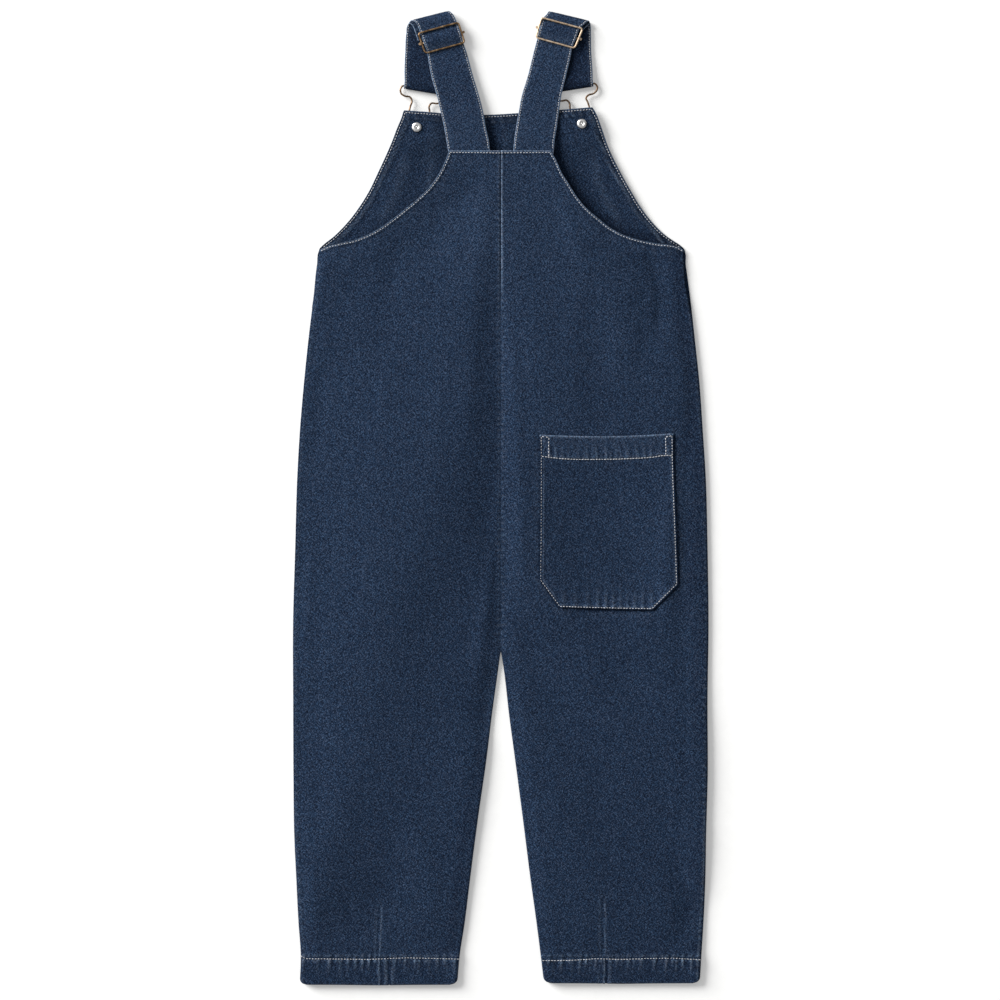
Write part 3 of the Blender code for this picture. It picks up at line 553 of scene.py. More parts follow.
def colour_steps(tree, factor, steps):
    """A colour ramp through (place, (r, g, b)) steps."""
    node = add_node(tree, "ShaderNodeValToRGB", links={"Fac": factor})
    elements = node.color_ramp.elements
    while len(elements) < len(steps):
        elements.new(0.5)
    for element, (place, colour) in zip(elements, steps):
        element.position = place
        element.color = (*colour, 1.0)
    return node.outputs["Color"]


def spread(tree, socket, low, high, to_low=0.0, to_high=1.0):
    """Map a value's range low..high to another range, clamped."""
    node = add_node(
        tree,
        "ShaderNodeMapRange",
        values={"From Min": low, "From Max": high, "To Min": to_low, "To Max": to_high},
        links={"Value": socket},
    )
    return node.outputs["Result"]


def combine(tree, operation, first, second):
    """Two values, sockets or numbers, through one Math node."""
    node = add_node(tree, "ShaderNodeMath", operation=operation)
    for index, value in enumerate((first, second)):
        if isinstance(value, (int, float)):
            node.inputs[index].default_value = value
        else:
            tree.links.new(value, node.inputs[index])
    return node.outputs[0]


def noise(tree, vector, scale, detail=2.0, roughness=0.5):
    node = add_node(
        tree,
        "ShaderNodeTexNoise",
        values={"Scale": scale, "Detail": detail, "Roughness": roughness},
        links={"Vector": vector},
    )
    return node.outputs["Fac"]


def woven_noise(tree, cloth, across, along, detail=0.0, roughness=0.5, place=(0.0, 0.0)):
    """Noise in the cloth's plane: how many features a millimetre across and along it."""
    node = add_node(
        tree,
        "ShaderNodeMapping",
        values={"Location": (*place, 0.5), "Scale": (across, along, 0.0)},
        links={"Vector": cloth},
    )
    return noise(tree, node.outputs["Vector"], 1.0, detail, roughness)


def grain(tree, cloth, across, along):
    """Woven noise with its broad swells taken out, so that it reads as separate flecks."""
    value = woven_noise(tree, cloth, across, along)
    for place in ((FLECK_STEP * across, 0.0), (0.0, FLECK_STEP * along)):
        beside = woven_noise(tree, cloth, across, along, place=place)
        value = combine(tree, "SUBTRACT", value, combine(tree, "MULTIPLY", beside, 0.18))
    return value


def raise_surface(tree, shader, height, strength, distance):
    """Fine relief from a height socket; distance is in millimetres."""
    values = {"Strength": strength, "Distance": distance * MM}
    raised = add_node(tree, "ShaderNodeBump", values=values, links={"Height": height})
    tree.links.new(raised.outputs["Normal"], shader.inputs["Normal"])


def new_material(name):
    made = bpy.data.materials.new(name)
    made.use_nodes = True
    return made, made.node_tree, made.node_tree.nodes["Principled BSDF"]


def denim_material():
    """Right-hand twill: flecks of about a millimetre, uneven threads, faint mottling, pale worn edges; painted
    light and shade come in through the attributes.
    """
    made, tree, shader = new_material("indigo_twill")
    cloth = add_node(tree, "ShaderNodeAttribute", attribute_name="cloth").outputs["Vector"]
    wear_and_highlight = add_node(tree, "ShaderNodeAttribute", attribute_name="wear_and_highlight").outputs["Fac"]
    tone = add_node(tree, "ShaderNodeAttribute", attribute_name="tone").outputs["Fac"]
    flecks = grain(tree, cloth, 1.14, 1.0)
    fine = woven_noise(tree, cloth, 1.9, 1.45, place=(31.0, 17.0))
    tint = woven_noise(tree, cloth, 0.62, 0.5, place=(47.0, 3.0))
    warp = woven_noise(tree, cloth, 0.9, 0.10, 1.0, place=(5.0, 43.0))
    slubs = woven_noise(tree, cloth, 0.16, 0.7, 1.0, place=(71.0, 9.0))
    cloud = woven_noise(tree, cloth, 0.030, 0.022, 2.0, 0.6, place=(11.0, 23.0))
    value = combine(tree, "MULTIPLY", spread(tree, flecks, 0.02, 0.62, -0.5, 0.5), 0.82)
    for source, share in ((fine, 0.90), (warp, 0.12), (slubs, 0.05), (cloud, 0.06)):
        part = spread(tree, source, 0.2, 0.8, -0.5 * share, 0.5 * share)
        value = combine(tree, "ADD", value, part)
    # tone: painted light and shade as well as uneven wash
    value = combine(tree, "ADD", value, tone)
    # the pale of worn places and of painted highlights
    value = combine(tree, "ADD", value, spread(tree, wear_and_highlight, 0.0, 1.0, 0.0, 0.24))
    value = combine(tree, "ADD", value, 0.5)
    colour = colour_steps(tree, value, DENIM_STEPS)
    worn = combine(tree, "MULTIPLY", wear_and_highlight, spread(tree, flecks, 0.17, 0.52, 0.3, 1.0))
    mix = add_node(tree, "ShaderNodeMix", data_type="RGBA", links={"Factor": worn})
    tree.links.new(colour, mix.inputs["A"])
    mix.inputs["B"].default_value = (*WORN, 1.0)
    hues = colour_steps(tree, tint, TINTS)
    tinted = add_node(tree, "ShaderNodeMix", data_type="RGBA", blend_type="MULTIPLY", values={"Factor": 1.0})
    tree.links.new(mix.outputs["Result"], tinted.inputs["A"])
    tree.links.new(hues, tinted.inputs["B"])
    tree.links.new(tinted.outputs["Result"], shader.inputs["Base Color"])
    relief = combine(tree, "ADD", combine(tree, "MULTIPLY", fine, 0.7), flecks)
    relief = combine(tree, "ADD", relief, combine(tree, "MULTIPLY", warp, 0.4))
    raise_surface(tree, shader, relief, 0.5, 0.2)
    tree.links.new(spread(tree, flecks, 0.12, 0.52, 0.98, 0.88), shader.inputs["Roughness"])
    shader.inputs["Specular IOR Level"].default_value = 0.06
    shader.inputs["Sheen Weight"].default_value = 0.02
    shader.inputs["Sheen Roughness"].default_value = 0.6
    return made


def thread_material(name, pale, shaded):
    """Twisted cotton thread."""
    made, tree, shader = new_material(name)
    place = add_node(tree, "ShaderNodeTexCoord").outputs["Object"]
    twist = add_node(
        tree,
        "ShaderNodeTexWave",
        bands_direction="DIAGONAL",
        values={"Scale": 420.0, "Distortion": 1.0, "Detail": 1.0},
        links={"Vector": place},
    )
    soiled = noise(tree, place, 260.0, 2.0)
    value = combine(tree, "ADD", combine(tree, "MULTIPLY", twist.outputs["Fac"], 0.3), soiled)
    colour = colour_steps(tree, value, ((0.3, shaded), (0.75, pale)))
    tree.links.new(colour, shader.inputs["Base Color"])
    raise_surface(tree, shader, twist.outputs["Fac"], 0.5, 0.08)
    tree.links.new(spread(tree, soiled, 0.3, 0.7, 0.7, 0.88), shader.inputs["Roughness"])
    return made


def metal_material(name):
    """Plated wire: uneven tone, rubbed places, fine scratches."""
    middle_place, dark, middle, light, least, most, scale, dent = METALS[name]
    made, tree, shader = new_material(name)
    place = add_node(tree, "ShaderNodeTexCoord").outputs["Object"]
    rubbed = noise(tree, place, scale, 3.0, 0.6)
    specks = noise(tree, place, scale * 7.0, 2.0, 0.5)
    value = combine(tree, "ADD", combine(tree, "MULTIPLY", specks, 0.35), rubbed)
    soil = add_node(tree, "ShaderNodeAttribute", attribute_name="soil").outputs["Fac"]
    value = combine(tree, "SUBTRACT", spread(tree, value, 0.4, 0.95), soil)
    colour = colour_steps(tree, value, ((0.0, dark), (middle_place, middle), (1.0, light)))
    tree.links.new(colour, shader.inputs["Base Color"])
    tree.links.new(spread(tree, specks, 0.3, 0.7, least, most), shader.inputs["Roughness"])
    raise_surface(tree, shader, specks, 0.35, dent)
    shader.inputs["Metallic"].default_value = 1.0
    return made


DENIM = denim_material()
THREAD_WHITE = thread_material("ecru_thread", (0.515, 0.525, 0.545), (0.33, 0.34, 0.355))
BRONZE, PAINTED_LIT_BRONZE, DARK_BRONZE, NICKEL = (metal_material(name) for name in METALS)

# Mesh builders


def smooth_mesh(name, points, faces, finish, values=None):
    """An object from points in millimetres, riding on the root body. values: named attributes of its points."""
    mesh = bpy.data.meshes.new(name)
    mesh.from_pydata((np.asarray(points, float) * MM).tolist(), [], faces)
    mesh.shade_smooth()
    for label, column in (values or {}).items():
        column = np.asarray(column, np.float32)
        kind, field = ("FLOAT", "value") if column.ndim == 1 else ("FLOAT_VECTOR", "vector")
        mesh.attributes.new(label, kind, "POINT").data.foreach_set(field, column.ravel())
    mesh.materials.append(finish)
    made = bpy.data.objects.new(name, mesh)
    bpy.context.scene.collection.objects.link(made)
    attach(made, "root")
    return made


def cloth_shell(name, outer, wall, wear_and_highlight, tone, cloth, faces_up):
    """A closed thin shell from a grid of outer points, its wall on the other side and its rim rounded."""
    rows, columns = outer.shape[:2]
    slope_along = np.gradient(outer, axis=1)
    slope_down = np.gradient(outer, axis=0)
    normal = np.cross(slope_down, slope_along)
    normal /= np.linalg.norm(normal, axis=2, keepdims=True) + 1e-12
    if not faces_up:
        normal = -normal
    inner = outer - normal * wall[..., None]
    ring = [(rows - 1, c) for c in range(columns)]
    ring += [(r, columns - 1) for r in range(rows - 2, -1, -1)]
    ring += [(0, c) for c in range(columns - 2, -1, -1)]
    ring += [(r, 0) for r in range(1, rows - 1)]
    r, c = np.array(ring).T
    inside_r, inside_c = np.clip(r, 1, rows - 2), np.clip(c, 1, columns - 2)
    outward = outer[r, c] - outer[inside_r, inside_c]
    outward /= np.linalg.norm(outward, axis=1, keepdims=True) + 1e-12
    middle = (outer[r, c] + inner[r, c]) / 2 + outward * wall[r, c][:, None] * RIM_BULGE
    count = rows * columns
    index = np.arange(count).reshape(rows, columns)
    a, b, d, e = index[1:, :-1], index[1:, 1:], index[:-1, 1:], index[:-1, :-1]
    top = np.stack([a, b, d, e], axis=-1).reshape(-1, 4)
    rim_top = index[r, c]
    rim_middle = 2 * count + np.arange(len(ring))
    turned = (np.roll(rim_top, -1), np.roll(rim_middle, -1))
    sides = np.concatenate(
        [
            np.stack([rim_middle, turned[1], turned[0], rim_top], axis=-1),
            np.stack([rim_top + count, turned[0] + count, turned[1], rim_middle], axis=-1),
        ]
    )
    faces = np.concatenate([top, top[:, ::-1] + count, sides])
    if not faces_up:
        faces = faces[:, ::-1]
    points = np.concatenate([outer.reshape(-1, 3), inner.reshape(-1, 3), middle])

    def both(grid, under):
        flat = grid.reshape(count, -1)
        joined = np.concatenate([flat, flat + under, flat[rim_top]])
        return joined[:, 0] if grid.ndim == 2 else joined

    values = {
        "wear_and_highlight": both(wear_and_highlight, 0.0),
        "tone": both(tone, 0.0),
        "cloth": both(cloth, np.array([[350.0, 7.7, 0.0]])),
    }
    return smooth_mesh(name, points, faces.tolist(), DENIM, values)


def cloth_places(x, y, offset):
    """Places on the uncut cloth, in millimetres, so that no two pieces share their flecks."""
    return np.stack([x + offset, y, np.zeros(np.shape(x))], axis=-1)


def sew_panel(name, node, x, y, z, wall, wear_and_highlight, tone, bolt, faces_up):
    """A panel's shell in its solid's place. bolt: where on the uncut cloth it comes from."""
    points = np.stack([x, y, z], axis=-1)
    made = cloth_shell(name, points, wall, np.clip(wear_and_highlight, -0.3, 1.0), tone, cloth_places(x, y, bolt), faces_up)
    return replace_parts(made, node)


def height_wear(height, spacing, strength):
    """Where a grid of heights stands proud of what is round it, 0 to 1."""
    around = height.copy()
    for _ in range(spacing):
        padded = np.pad(around, 1, mode="edge")
        around = (padded[:-2, 1:-1] + padded[2:, 1:-1] + padded[1:-1, :-2] + padded[1:-1, 2:]) / 4
    return np.clip((height - around) * strength, -0.5, 1.0)


def row_places(*stretches):
    """Places down the garment: (first, last, spacing) for each stretch."""
    places = []
    for first, last, spacing in stretches:
        steps = max(1, round((first - last) / spacing))
        places += list(np.linspace(first, last, steps, endpoint=False))
    return np.array(places + [stretches[-1][1]])


def panel_grid(places, left, right, columns, rolls):
    """x, y, roll drop (0 to 1) of each point: columns from left to right, closer at the rolled edges."""
    angles = np.radians(FINE_ROLL)
    offsets = ROLL_WIDTH * (1.0 - np.cos(angles))
    drops = 1.0 - np.sin(angles)
    middle = np.linspace(0.0, 1.0, columns)
    inner_left, inner_right = left + ROLL_WIDTH, right - ROLL_WIDTH
    x = np.concatenate(
        [
            left[:, None] + offsets,
            inner_left[:, None] + (inner_right - inner_left)[:, None] * middle,
            (right[:, None] - offsets)[:, ::-1],
        ],
        axis=1,
    )
    flat = np.zeros((len(places), columns))
    drop = np.concatenate(
        [rolls[0][:, None] * drops, flat, (rolls[1][:, None] * drops)[:, ::-1]], axis=1
    )
    y = np.repeat(places[:, None], x.shape[1], axis=1)
    return x, y, drop


def thin_rolls(wall, most):
    """A panel's wall, with at most this thickness in its rolled edges."""
    rolls = len(FINE_ROLL)
    wall[:, :rolls] = np.minimum(wall[:, :rolls], most)
    wall[:, -rolls:] = np.minimum(wall[:, -rolls:], most)
    return wall


# Panels


def armhole_line(side):
    """The edge of an armhole, from the underarm up."""
    places = np.linspace(ARMHOLES[-1][0], ARMHOLES[0][0], 90)
    line = np.stack([curve(ARMHOLES, side_column(side), places), places], axis=1)
    heading = np.gradient(line, axis=0)
    heading /= np.linalg.norm(heading, axis=1, keepdims=True)
    trim = side * EDGE_TRIM * ramp(places, 249.0, 262.0)
    line -= np.stack([heading[:, 1], -heading[:, 0]], axis=1) * trim[:, None]
    return line.tolist()


def back_edges(side, y):
    """Outer and inner edge of a back panel at each y."""
    column = side_column(side)
    xs, ys = zip(*armhole_line(side))
    outer = np.where(y > UNDERARM, np.interp(y, ys, xs), curve(SIDES, column, y))
    outer = outer - side * hem_inset(side, y)
    inner = np.where(y < CROTCH, curve(INSEAMS, column, y) + side * hem_inset(side, y), 0.0)
    if side > 0:
        outer = outer - TUCK_DEPTH * tucked(y)
    return outer, inner


def free_edge(x, y, side):
    """How far each place of a back panel is from its armhole or its top edge."""
    armhole = np.full(np.shape(x), FAR)
    upper = y > UNDERARM - 12.0
    armhole[upper] = line_distance(x[upper], y[upper], armhole_line(side))
    return np.minimum(armhole, BACK_TOP - y)


def hem_relief(x, y, side, seed):
    """Ropy puckers of a leg's hem, the groove of its stitching and the dart's folds."""
    above = y - HEM_LINE
    reach = np.where(above > 0.0, 4.5, 10.0)
    swell = bell(above, reach) * np.where(above > 0.0, 0.55, 1.0)
    swell = swell * (1.0 - 0.8 * bell(x - DART_IN_HEM[side][1][0] - 1.0, 7.0))
    relief = 0.46 * ripples(x, above, 9.4, 0.05, seed) * swell
    relief += 0.38 * ripples(x, above, 5.6, -0.16, seed + 5) * swell
    relief -= 0.32 * bell(above, 1.0)
    relief += 0.22 * bell(above - 2.6, 1.8) + 0.2 * bell(above + 2.8, 2.0)
    in_hem = ramp(above, 1.0, -2.0)
    for place, size, width in DART_IN_HEM[side]:
        relief += in_hem * size * bell(x - place, width)
    return relief


def dart_relief(x, y, side):
    """The dart above the hem: a ridge on its right, a groove on its left."""
    away = line_distance(x, y, DART[side])
    middle = curve([(b, a) for a, b in DART[side]], 1, y)
    right = ramp(x - middle, -0.5, 1.5)
    top = DART[side][0][1]
    fade = ramp(y, top + 20.0, top - 8.0)
    return fade * (0.40 * bump(away, 1.3) * right - 0.55 * bump(away, 1.5) * (1 - right))


def back_height(x, y, side):
    """Height of the back panels' outer face."""
    plain = crease_field(CREASES, x, y) + crease_field(CROSS_CREASES, x, y, lengthways=False)
    plain = BACK_BASE + RISE + CREASE_DEPTH * plain - seam_valley(x, y)
    fall, width = SIDE_FALL
    plain -= fall * (1.0 - ramp(from_side(x, y, side), 0.0, width))
    fall, width = INSEAM_FALL
    plain -= fall * (1.0 - ramp(from_inseam(x, y, side), 0.0, width)) * ramp(y, CROTCH, CROTCH - 30.0)
    plain = soft_floor(plain, LOWEST_BACK, 0.5)
    at_top = TOP_EDGE + (plain - TOP_EDGE) * ramp(y, *TOP_FALL)
    height = at_top + (HEM_TOP - at_top) * ramp(y, *BACK_HEM)
    return height + crease_field(RANDOM_CREASES, x, y) * ramp(y, HEM_LINE - 12.0, HEM_LINE + 8.0)


def back_detail(x, y, side):
    """Fine relief: the turned armhole and top edges, centre seam, dart and hem."""
    edge = free_edge(x, y, side)
    relief = 0.38 * (1.0 - ramp(edge, 2.1, 3.4))
    relief -= 0.30 * bell(edge - EDGE_INSET, 0.7)
    wave = ripples(x + 0.6 * y, edge, 7.3, 0.2, 21 + side)
    relief += 0.16 * wave * bell(edge - 4.5, 4.5)
    seam = ramp(y, CROTCH - 4.0, CROTCH + 10.0)
    away, crisp = np.abs(x), ramp(y, *CRISP_SEAM)
    relief -= seam * (0.12 + 0.42 * crisp) * bell(away, 0.7)
    relief += seam * (0.07 + 0.12 * crisp) * bell(away - 1.9, 1.2)
    relief += seam * 0.16 * ripples(y, x, 6.1, 0.2, 33) * bell(away - 2.5, 3.5)
    if side > 0:
        round_pocket = line_distance(x, y, POCKET_EDGE)
        relief -= 0.16 * bell(round_pocket, 1.1)
        relief += 0.16 * ripples(x + y, round_pocket, 8.3, 0.1, 77) * bell(round_pocket, 6.0)
    relief += dart_relief(x, y, side)
    relief += hem_relief(x, y, side, 40 + side)
    inset = from_side(x, y, side)
    relief += 0.22 * bell(inset - 3.0, 1.3) * ramp(y, UNDERARM, UNDERARM - 20.0)
    roping = 0.09 + 0.13 * (side > 0) * ramp(y, 20.0, -60.0)
    relief += roping * ripples(y, x, 7.7, 0.3, 51 + side) * bell(inset - 3.6, 3.4)
    return relief


def panel_surface(x, y, side):
    """Height of the back panels' outer face with its fine relief."""
    return back_height(x, y, side) + back_detail(x, y, side)


def back_tone(x, y, side):
    """Painted light and shade with some uneven wash: paler on crease tops and towards the upper left, darker in
    valleys, and painted shadow and highlight along sides, darts and the pocket.
    """
    field = crease_field(CREASES, x, y)
    # paler on crease tops, darker in the valleys and the centre seam's valley: partly wash, partly painted
    # shade
    tone = 0.008 * field - 0.008 * seam_valley(x, y) + 0.04 * crease_field(RANDOM_CREASES, x, y)
    # paler towards the top and the left, the lamp's side: painted light
    tone += 0.034 * y / 400.0 - 0.008 * x / 200.0
    if side < 0:
        tone += 0.07 * bell(x + 24.0, 15.0) * ramp(y, 190.0, 270.0)
    else:
        # painted shade: a dark patch where the right side is tucked in below the armhole
        tone -= 0.09 * np.exp(-(((x - 182.0) / 11.0) ** 2) - ((y - 208.0) / 28.0) ** 2)
    in_hem = ramp(y, HEM_LINE + 1.0, HEM_LINE - 2.0)
    tone -= 0.06 * in_hem
    for place, size, width in DART_IN_HEM[side]:
        # painted shade in the hem dart's fold grooves, paler on their tops
        tone += 0.22 * in_hem * size * bell(x - place, width)
    if side > 0:
        # painted shadow: a dark line round the pocket's edge
        tone -= 0.28 * bell(line_distance(x, y, POCKET_EDGE), 1.2)
    inset = from_side(x, y, side)
    inseam = from_inseam(x, y, side)
    if side < 0:
        # painted shade along the left side below the underarm
        tone -= 0.21 * bell(inset, 2.8) * ramp(y, UNDERARM, UNDERARM - 10.0)
        # painted light that lifts the shade where the left leg falls towards its inseam
        tone += 0.11 * (1.0 - ramp(inseam, 3.0, 17.0))
    else:
        # painted shade along the right leg's inseam and just inside its side
        tone -= 0.16 * bell(inseam, 1.6) + 0.08 * bell(inset - 4.0, 2.0)
        # painted light: a paler band inside the right side, lower down
        tone += 0.08 * bell(inset - 11.0, 5.0) * ramp(y, 0.0, -80.0)
    away = line_distance(x, y, DART[side])
    left = x < curve([(b, a) for a, b in DART[side]], 1, y)
    # painted shade on the dart's groove at its left, painted highlight on its ridge at its right
    tone += np.where(left, -0.16, 0.18) * bell(away, 0.95) * ramp(y, -400.0, -430.0)
    return tone


def back_panel(side):
    """Back, bib and leg in one."""
    bottom = HEM_BOTTOM[side]
    places = row_places(
        (BACK_TOP, 340.0, 1.0),
        (340.0, 276.0, 1.6),
        (276.0, UNDERARM, 1.0),
        (UNDERARM, -448.0, 3.0),
        (-448.0, bottom + HEM_CORNER, 1.3),
        (bottom + HEM_CORNER, bottom, 1.0),
    )
    outer, inner = back_edges(side, places)
    outer_roll = ramp(places, *SIDE_ROLL)
    if side > 0:
        outer_roll = outer_roll * (1.0 - 0.75 * tucked(places))
    inner_roll = ramp(places, *INSEAM_ROLL)
    x, y, drop = panel_grid(places, *by_side(side, outer, inner), 96, by_side(side, outer_roll, inner_roll))
    detail = back_detail(x, y, side)
    height = back_height(x, y, side) + detail
    z = height + (SEAM_HEIGHT + 0.35 * ramp(y, bottom + 8.0, bottom) - height) * drop
    wall = thin_rolls(CLOTH + (HEM_CLOTH - CLOTH) * ramp(y, *BACK_HEM), BACK_ROLL_CLOTH)
    wear_and_highlight = height_wear(detail, 3, 1.2)
    edge = free_edge(x, y, side)
    # pale free edges: worn, and partly a painted highlight where the light catches the turned edge
    wear_and_highlight += 0.42 * bell(edge, 1.2)
    wear_and_highlight += 0.12 * bell(y - bottom, 1.0)
    # painted highlight: a pale line just right of the centre seam, where its ridge faces the light
    wear_and_highlight += 0.42 * ramp(y, *CRISP_SEAM) * bell(x - 0.8, 0.6)
    if side > 0:
        place = 1.9 + 1.3 * ramp(y, -340.0, -440.0)
        wear_and_highlight += 0.30 * bell(from_side(x, y, side) - place, 0.7) * ramp(y, -290.0, -330.0)
    # painted shade: a dark line 3.3 mm inside the free edges, where the turned hem steps down
    tone = back_tone(x, y, side) - 0.15 * bell(edge - 3.3, 0.9)
    word = SIDE_NAMES[side]
    bolt = 700.0 + 700.0 * side
    return sew_panel("back_panel_" + word, "back_" + word, x, y, z, wall, wear_and_highlight, tone, bolt, True)


def plain_relief(x, y, seed):
    """Shallow random creases for the panels that lie on the surface, never below it."""
    return crease_field(small_creases(np.random.default_rng(seed), UNDER_CREASES, (-205, 205, -440, 370)), x, y)


def front_leg(side):
    """Plain front leg, which lies on the surface with its outer face down."""
    column = side_column(side)
    bottom = HEM_BOTTOM[side]
    places = row_places(
        (WAIST, -448.0, 4.0),
        (-448.0, bottom + HEM_CORNER, 1.8),
        (bottom + HEM_CORNER, bottom, 1.2),
    )
    outer = curve(SIDES, column, places) - side * hem_inset(side, places)
    inner = np.where(places < CROTCH, curve(INSEAMS, column, places) + side * hem_inset(side, places), 0.0)
    outer_roll = 1.0 - 0.8 * tucked(places) * (side > 0)
    rolls = by_side(side, outer_roll, ramp(places, *INSEAM_ROLL))
    x, y, drop = panel_grid(places, *by_side(side, outer, inner), 52, rolls)
    above = y - HEM_LINE
    relief = plain_relief(x, y, 60 + side)
    relief += 0.24 * (1 + ripples(x, above, 8.9, 0.16, 70 + side)) * bell(above + 3.0, 11.0)
    relief += 0.22 * bell(above, 1.0)
    relief += 0.5 * bell(WAIST - y, 0.9)
    relief += ramp(y, CROTCH - 4.0, CROTCH + 10.0) * 0.7 * bell(x, 0.9)
    z = relief + (SEAM_HEIGHT - relief) * drop
    wall = CLOTH + (HEM_CLOTH - 0.3 - CLOTH) * ramp(y, HEM_LINE + 3.0, HEM_LINE - 1.0)
    wall = thin_rolls(wall, FRONT_ROLL_CLOTH)
    wear_and_highlight = height_wear(-relief, 3, 0.9) + 0.1 * bell(y - bottom, 1.0)
    tone = -0.05 * relief + 0.02 * ramp(y, -300.0, 190.0)
    word = SIDE_NAMES[side]
    bolt = 2800.0 + 700.0 * side
    return sew_panel("front_leg_panel_" + word, f"front_{word}_leg", x, y, z, wall, wear_and_highlight, tone, bolt, False)


def bib_y(x, nominal):
    """Where a point of the bib's level row lies: its top edge is slightly bowed."""
    level = ramp(nominal, BIB_NOMINAL_TOP, BIB_NOMINAL_TOP - BIB_TOP_FADE)
    return nominal + (curve(BIB_TOP, 1, x) - BIB_NOMINAL_TOP) * (1.0 - level)


def bib_outline():
    """The front bib's free edge, from the left underarm over the top to the right one."""
    levels = np.linspace(252.0, BIB_NOMINAL_TOP, BIB_EDGE_POINTS)
    left, right = (
        [(float(curve(BIB_SIDES, column, y)), float(bib_y(curve(BIB_SIDES, column, y), y))) for y in levels]
        for column in (1, 2)
    )
    top_x = np.linspace(left[-1][0], right[-1][0], 40)[1:-1]
    top = [(float(x), float(bib_y(x, BIB_NOMINAL_TOP))) for x in top_x]
    return left + top + right[::-1]


def bib_inner_height(x, y, edge):
    """Height of the front bib's inner face, which shows in the armholes."""
    height = bib_lift(x, y) + CLOTH + np.maximum(crease_field(BIB_CREASES, x, y), -0.2)
    height = height + 0.45 * (1.0 - ramp(edge, 7.5, 9.0))
    height = height - 0.32 * bell(edge - BIB_INSET, 0.75)
    height = height + 0.15 * ripples(x + 0.7 * y, edge, 7.9, 0.2, 81) * bell(edge - 6.0, 5.0)
    return height


def front_bib():
    """Front bib, which lies on its outer face; its inner face shows."""
    places = row_places(
        (BIB_NOMINAL_TOP, 372.0, 1.4), (372.0, 276.0, 2.4), (276.0, 246.0, 1.4), (246.0, WAIST, 3.0)
    )
    left, right = (curve(BIB_SIDES, column, places) for column in (1, 2))
    roll = ramp(places, *SIDE_ROLL)
    x, nominal, drop = panel_grid(places, left, right, 96, (roll, roll * (1.0 - 0.8 * tucked(places))))
    y = bib_y(x, nominal)
    edge = line_distance(x, y, bib_outline())
    inner = bib_inner_height(x, y, edge)
    inner += 0.4 * plain_relief(x, y, 64)
    lift = bib_lift(x, y)
    relief = 0.3 * plain_relief(x, y, 66) + 0.3 * bell(edge - BIB_INSET, 0.75)
    relief += 0.5 * bell(nominal - WAIST, 0.9)
    outer = lift + relief
    wall = np.maximum(inner - outer, 0.8)
    z = outer + (SEAM_HEIGHT - outer) * drop
    wall = np.where(drop > 0.0, np.minimum(wall, FRONT_ROLL_CLOTH), wall)
    wear_and_highlight = 0.24 * bell(edge, 1.0) + height_wear(inner - lift, 3, 1.0)
    # painted shade: the whole inner face a little darker, paler where it stands higher
    tone = -0.06 + 0.05 * (inner - lift - CLOTH)
    # painted light and shade that cancel the shading of the lift over the buttons: darker where it faces the
    # lamp, paler where it faces away
    downhill = 0.85 * (bib_lift(x + 1.0, y) - lift) - 0.53 * (bib_lift(x, y + 1.0) - lift)
    tone -= 0.75 * np.clip(downhill, -0.4, 0.15)
    # painted shadow that the right back panel's armhole edge casts on the bib, and a faint one of the left
    # armhole's edge
    armhole_shadow_distance = line_distance(x, y, armhole_line(1))
    # a darker band within 7 mm of the free edge, and painted shade along a line inside the right-hand edge
    tone -= 0.15 * (1.0 - ramp(edge, 7.0, 9.5)) + 0.20 * bell(edge - 3.7, 0.9) * (x > 0.0)
    # painted shadow of the left strap's inner edge on the bib, near the top
    strap_edge = line_distance(x, y, [row[2:] for row in STRAP_PLANS[-1][:5]])
    tone -= 0.26 * bell(strap_edge, 6.0) * ramp(y, 385.0, 362.0)
    tone -= 0.30 * bell(armhole_shadow_distance, 9.0) + 0.05 * np.exp(-line_distance(x, y, armhole_line(-1)) / 8.0)
    return sew_panel("front_bib_panel", "front_bib", x, y, z, wall, wear_and_highlight, tone, 4200.0, False)


# Patch pocket


def pocket_height(x, y):
    """Height of the pocket's outer face."""
    return back_height(x, y, 1) + POCKET_LIFT + CLOTH


def pocket_detail(x, y, edge):
    """Fine relief: the folded hem, its puckers, and the turned edge with its stitches."""
    above = y - curve(POCKET_HEM, 1, x)
    relief = 0.75 * ramp(above, -1.6, 1.0)
    relief -= 0.45 * bell(above, 0.9)
    uneven = 0.75 + 0.45 * ripples(x, above, 34.0, 0.0, 95)
    relief += 0.27 * uneven * ripples(x, above, 9.2, 0.05, 90) * bell(above - 4.5, 7.0)
    relief += 0.24 * uneven * ripples(x, above, 5.4, 0.1, 93) * bell(above - 2.5, 5.5)
    relief += 0.34 * (1.0 - ramp(edge, 2.2, 5.0)) * ramp(above, 2.0, -2.0)
    relief -= 0.36 * bell(edge - POCKET_INSET, 0.65)
    relief += 0.15 * ripples(x + y, edge, 7.1, 0.1, 79) * bell(edge, 6.0) * ramp(above, 0.0, -4.0)
    over_bottom = y + 111.0
    relief += 0.50 * ripples(x, over_bottom, 9.3, 0.0, 97) * bell(over_bottom, 14.0)
    return relief


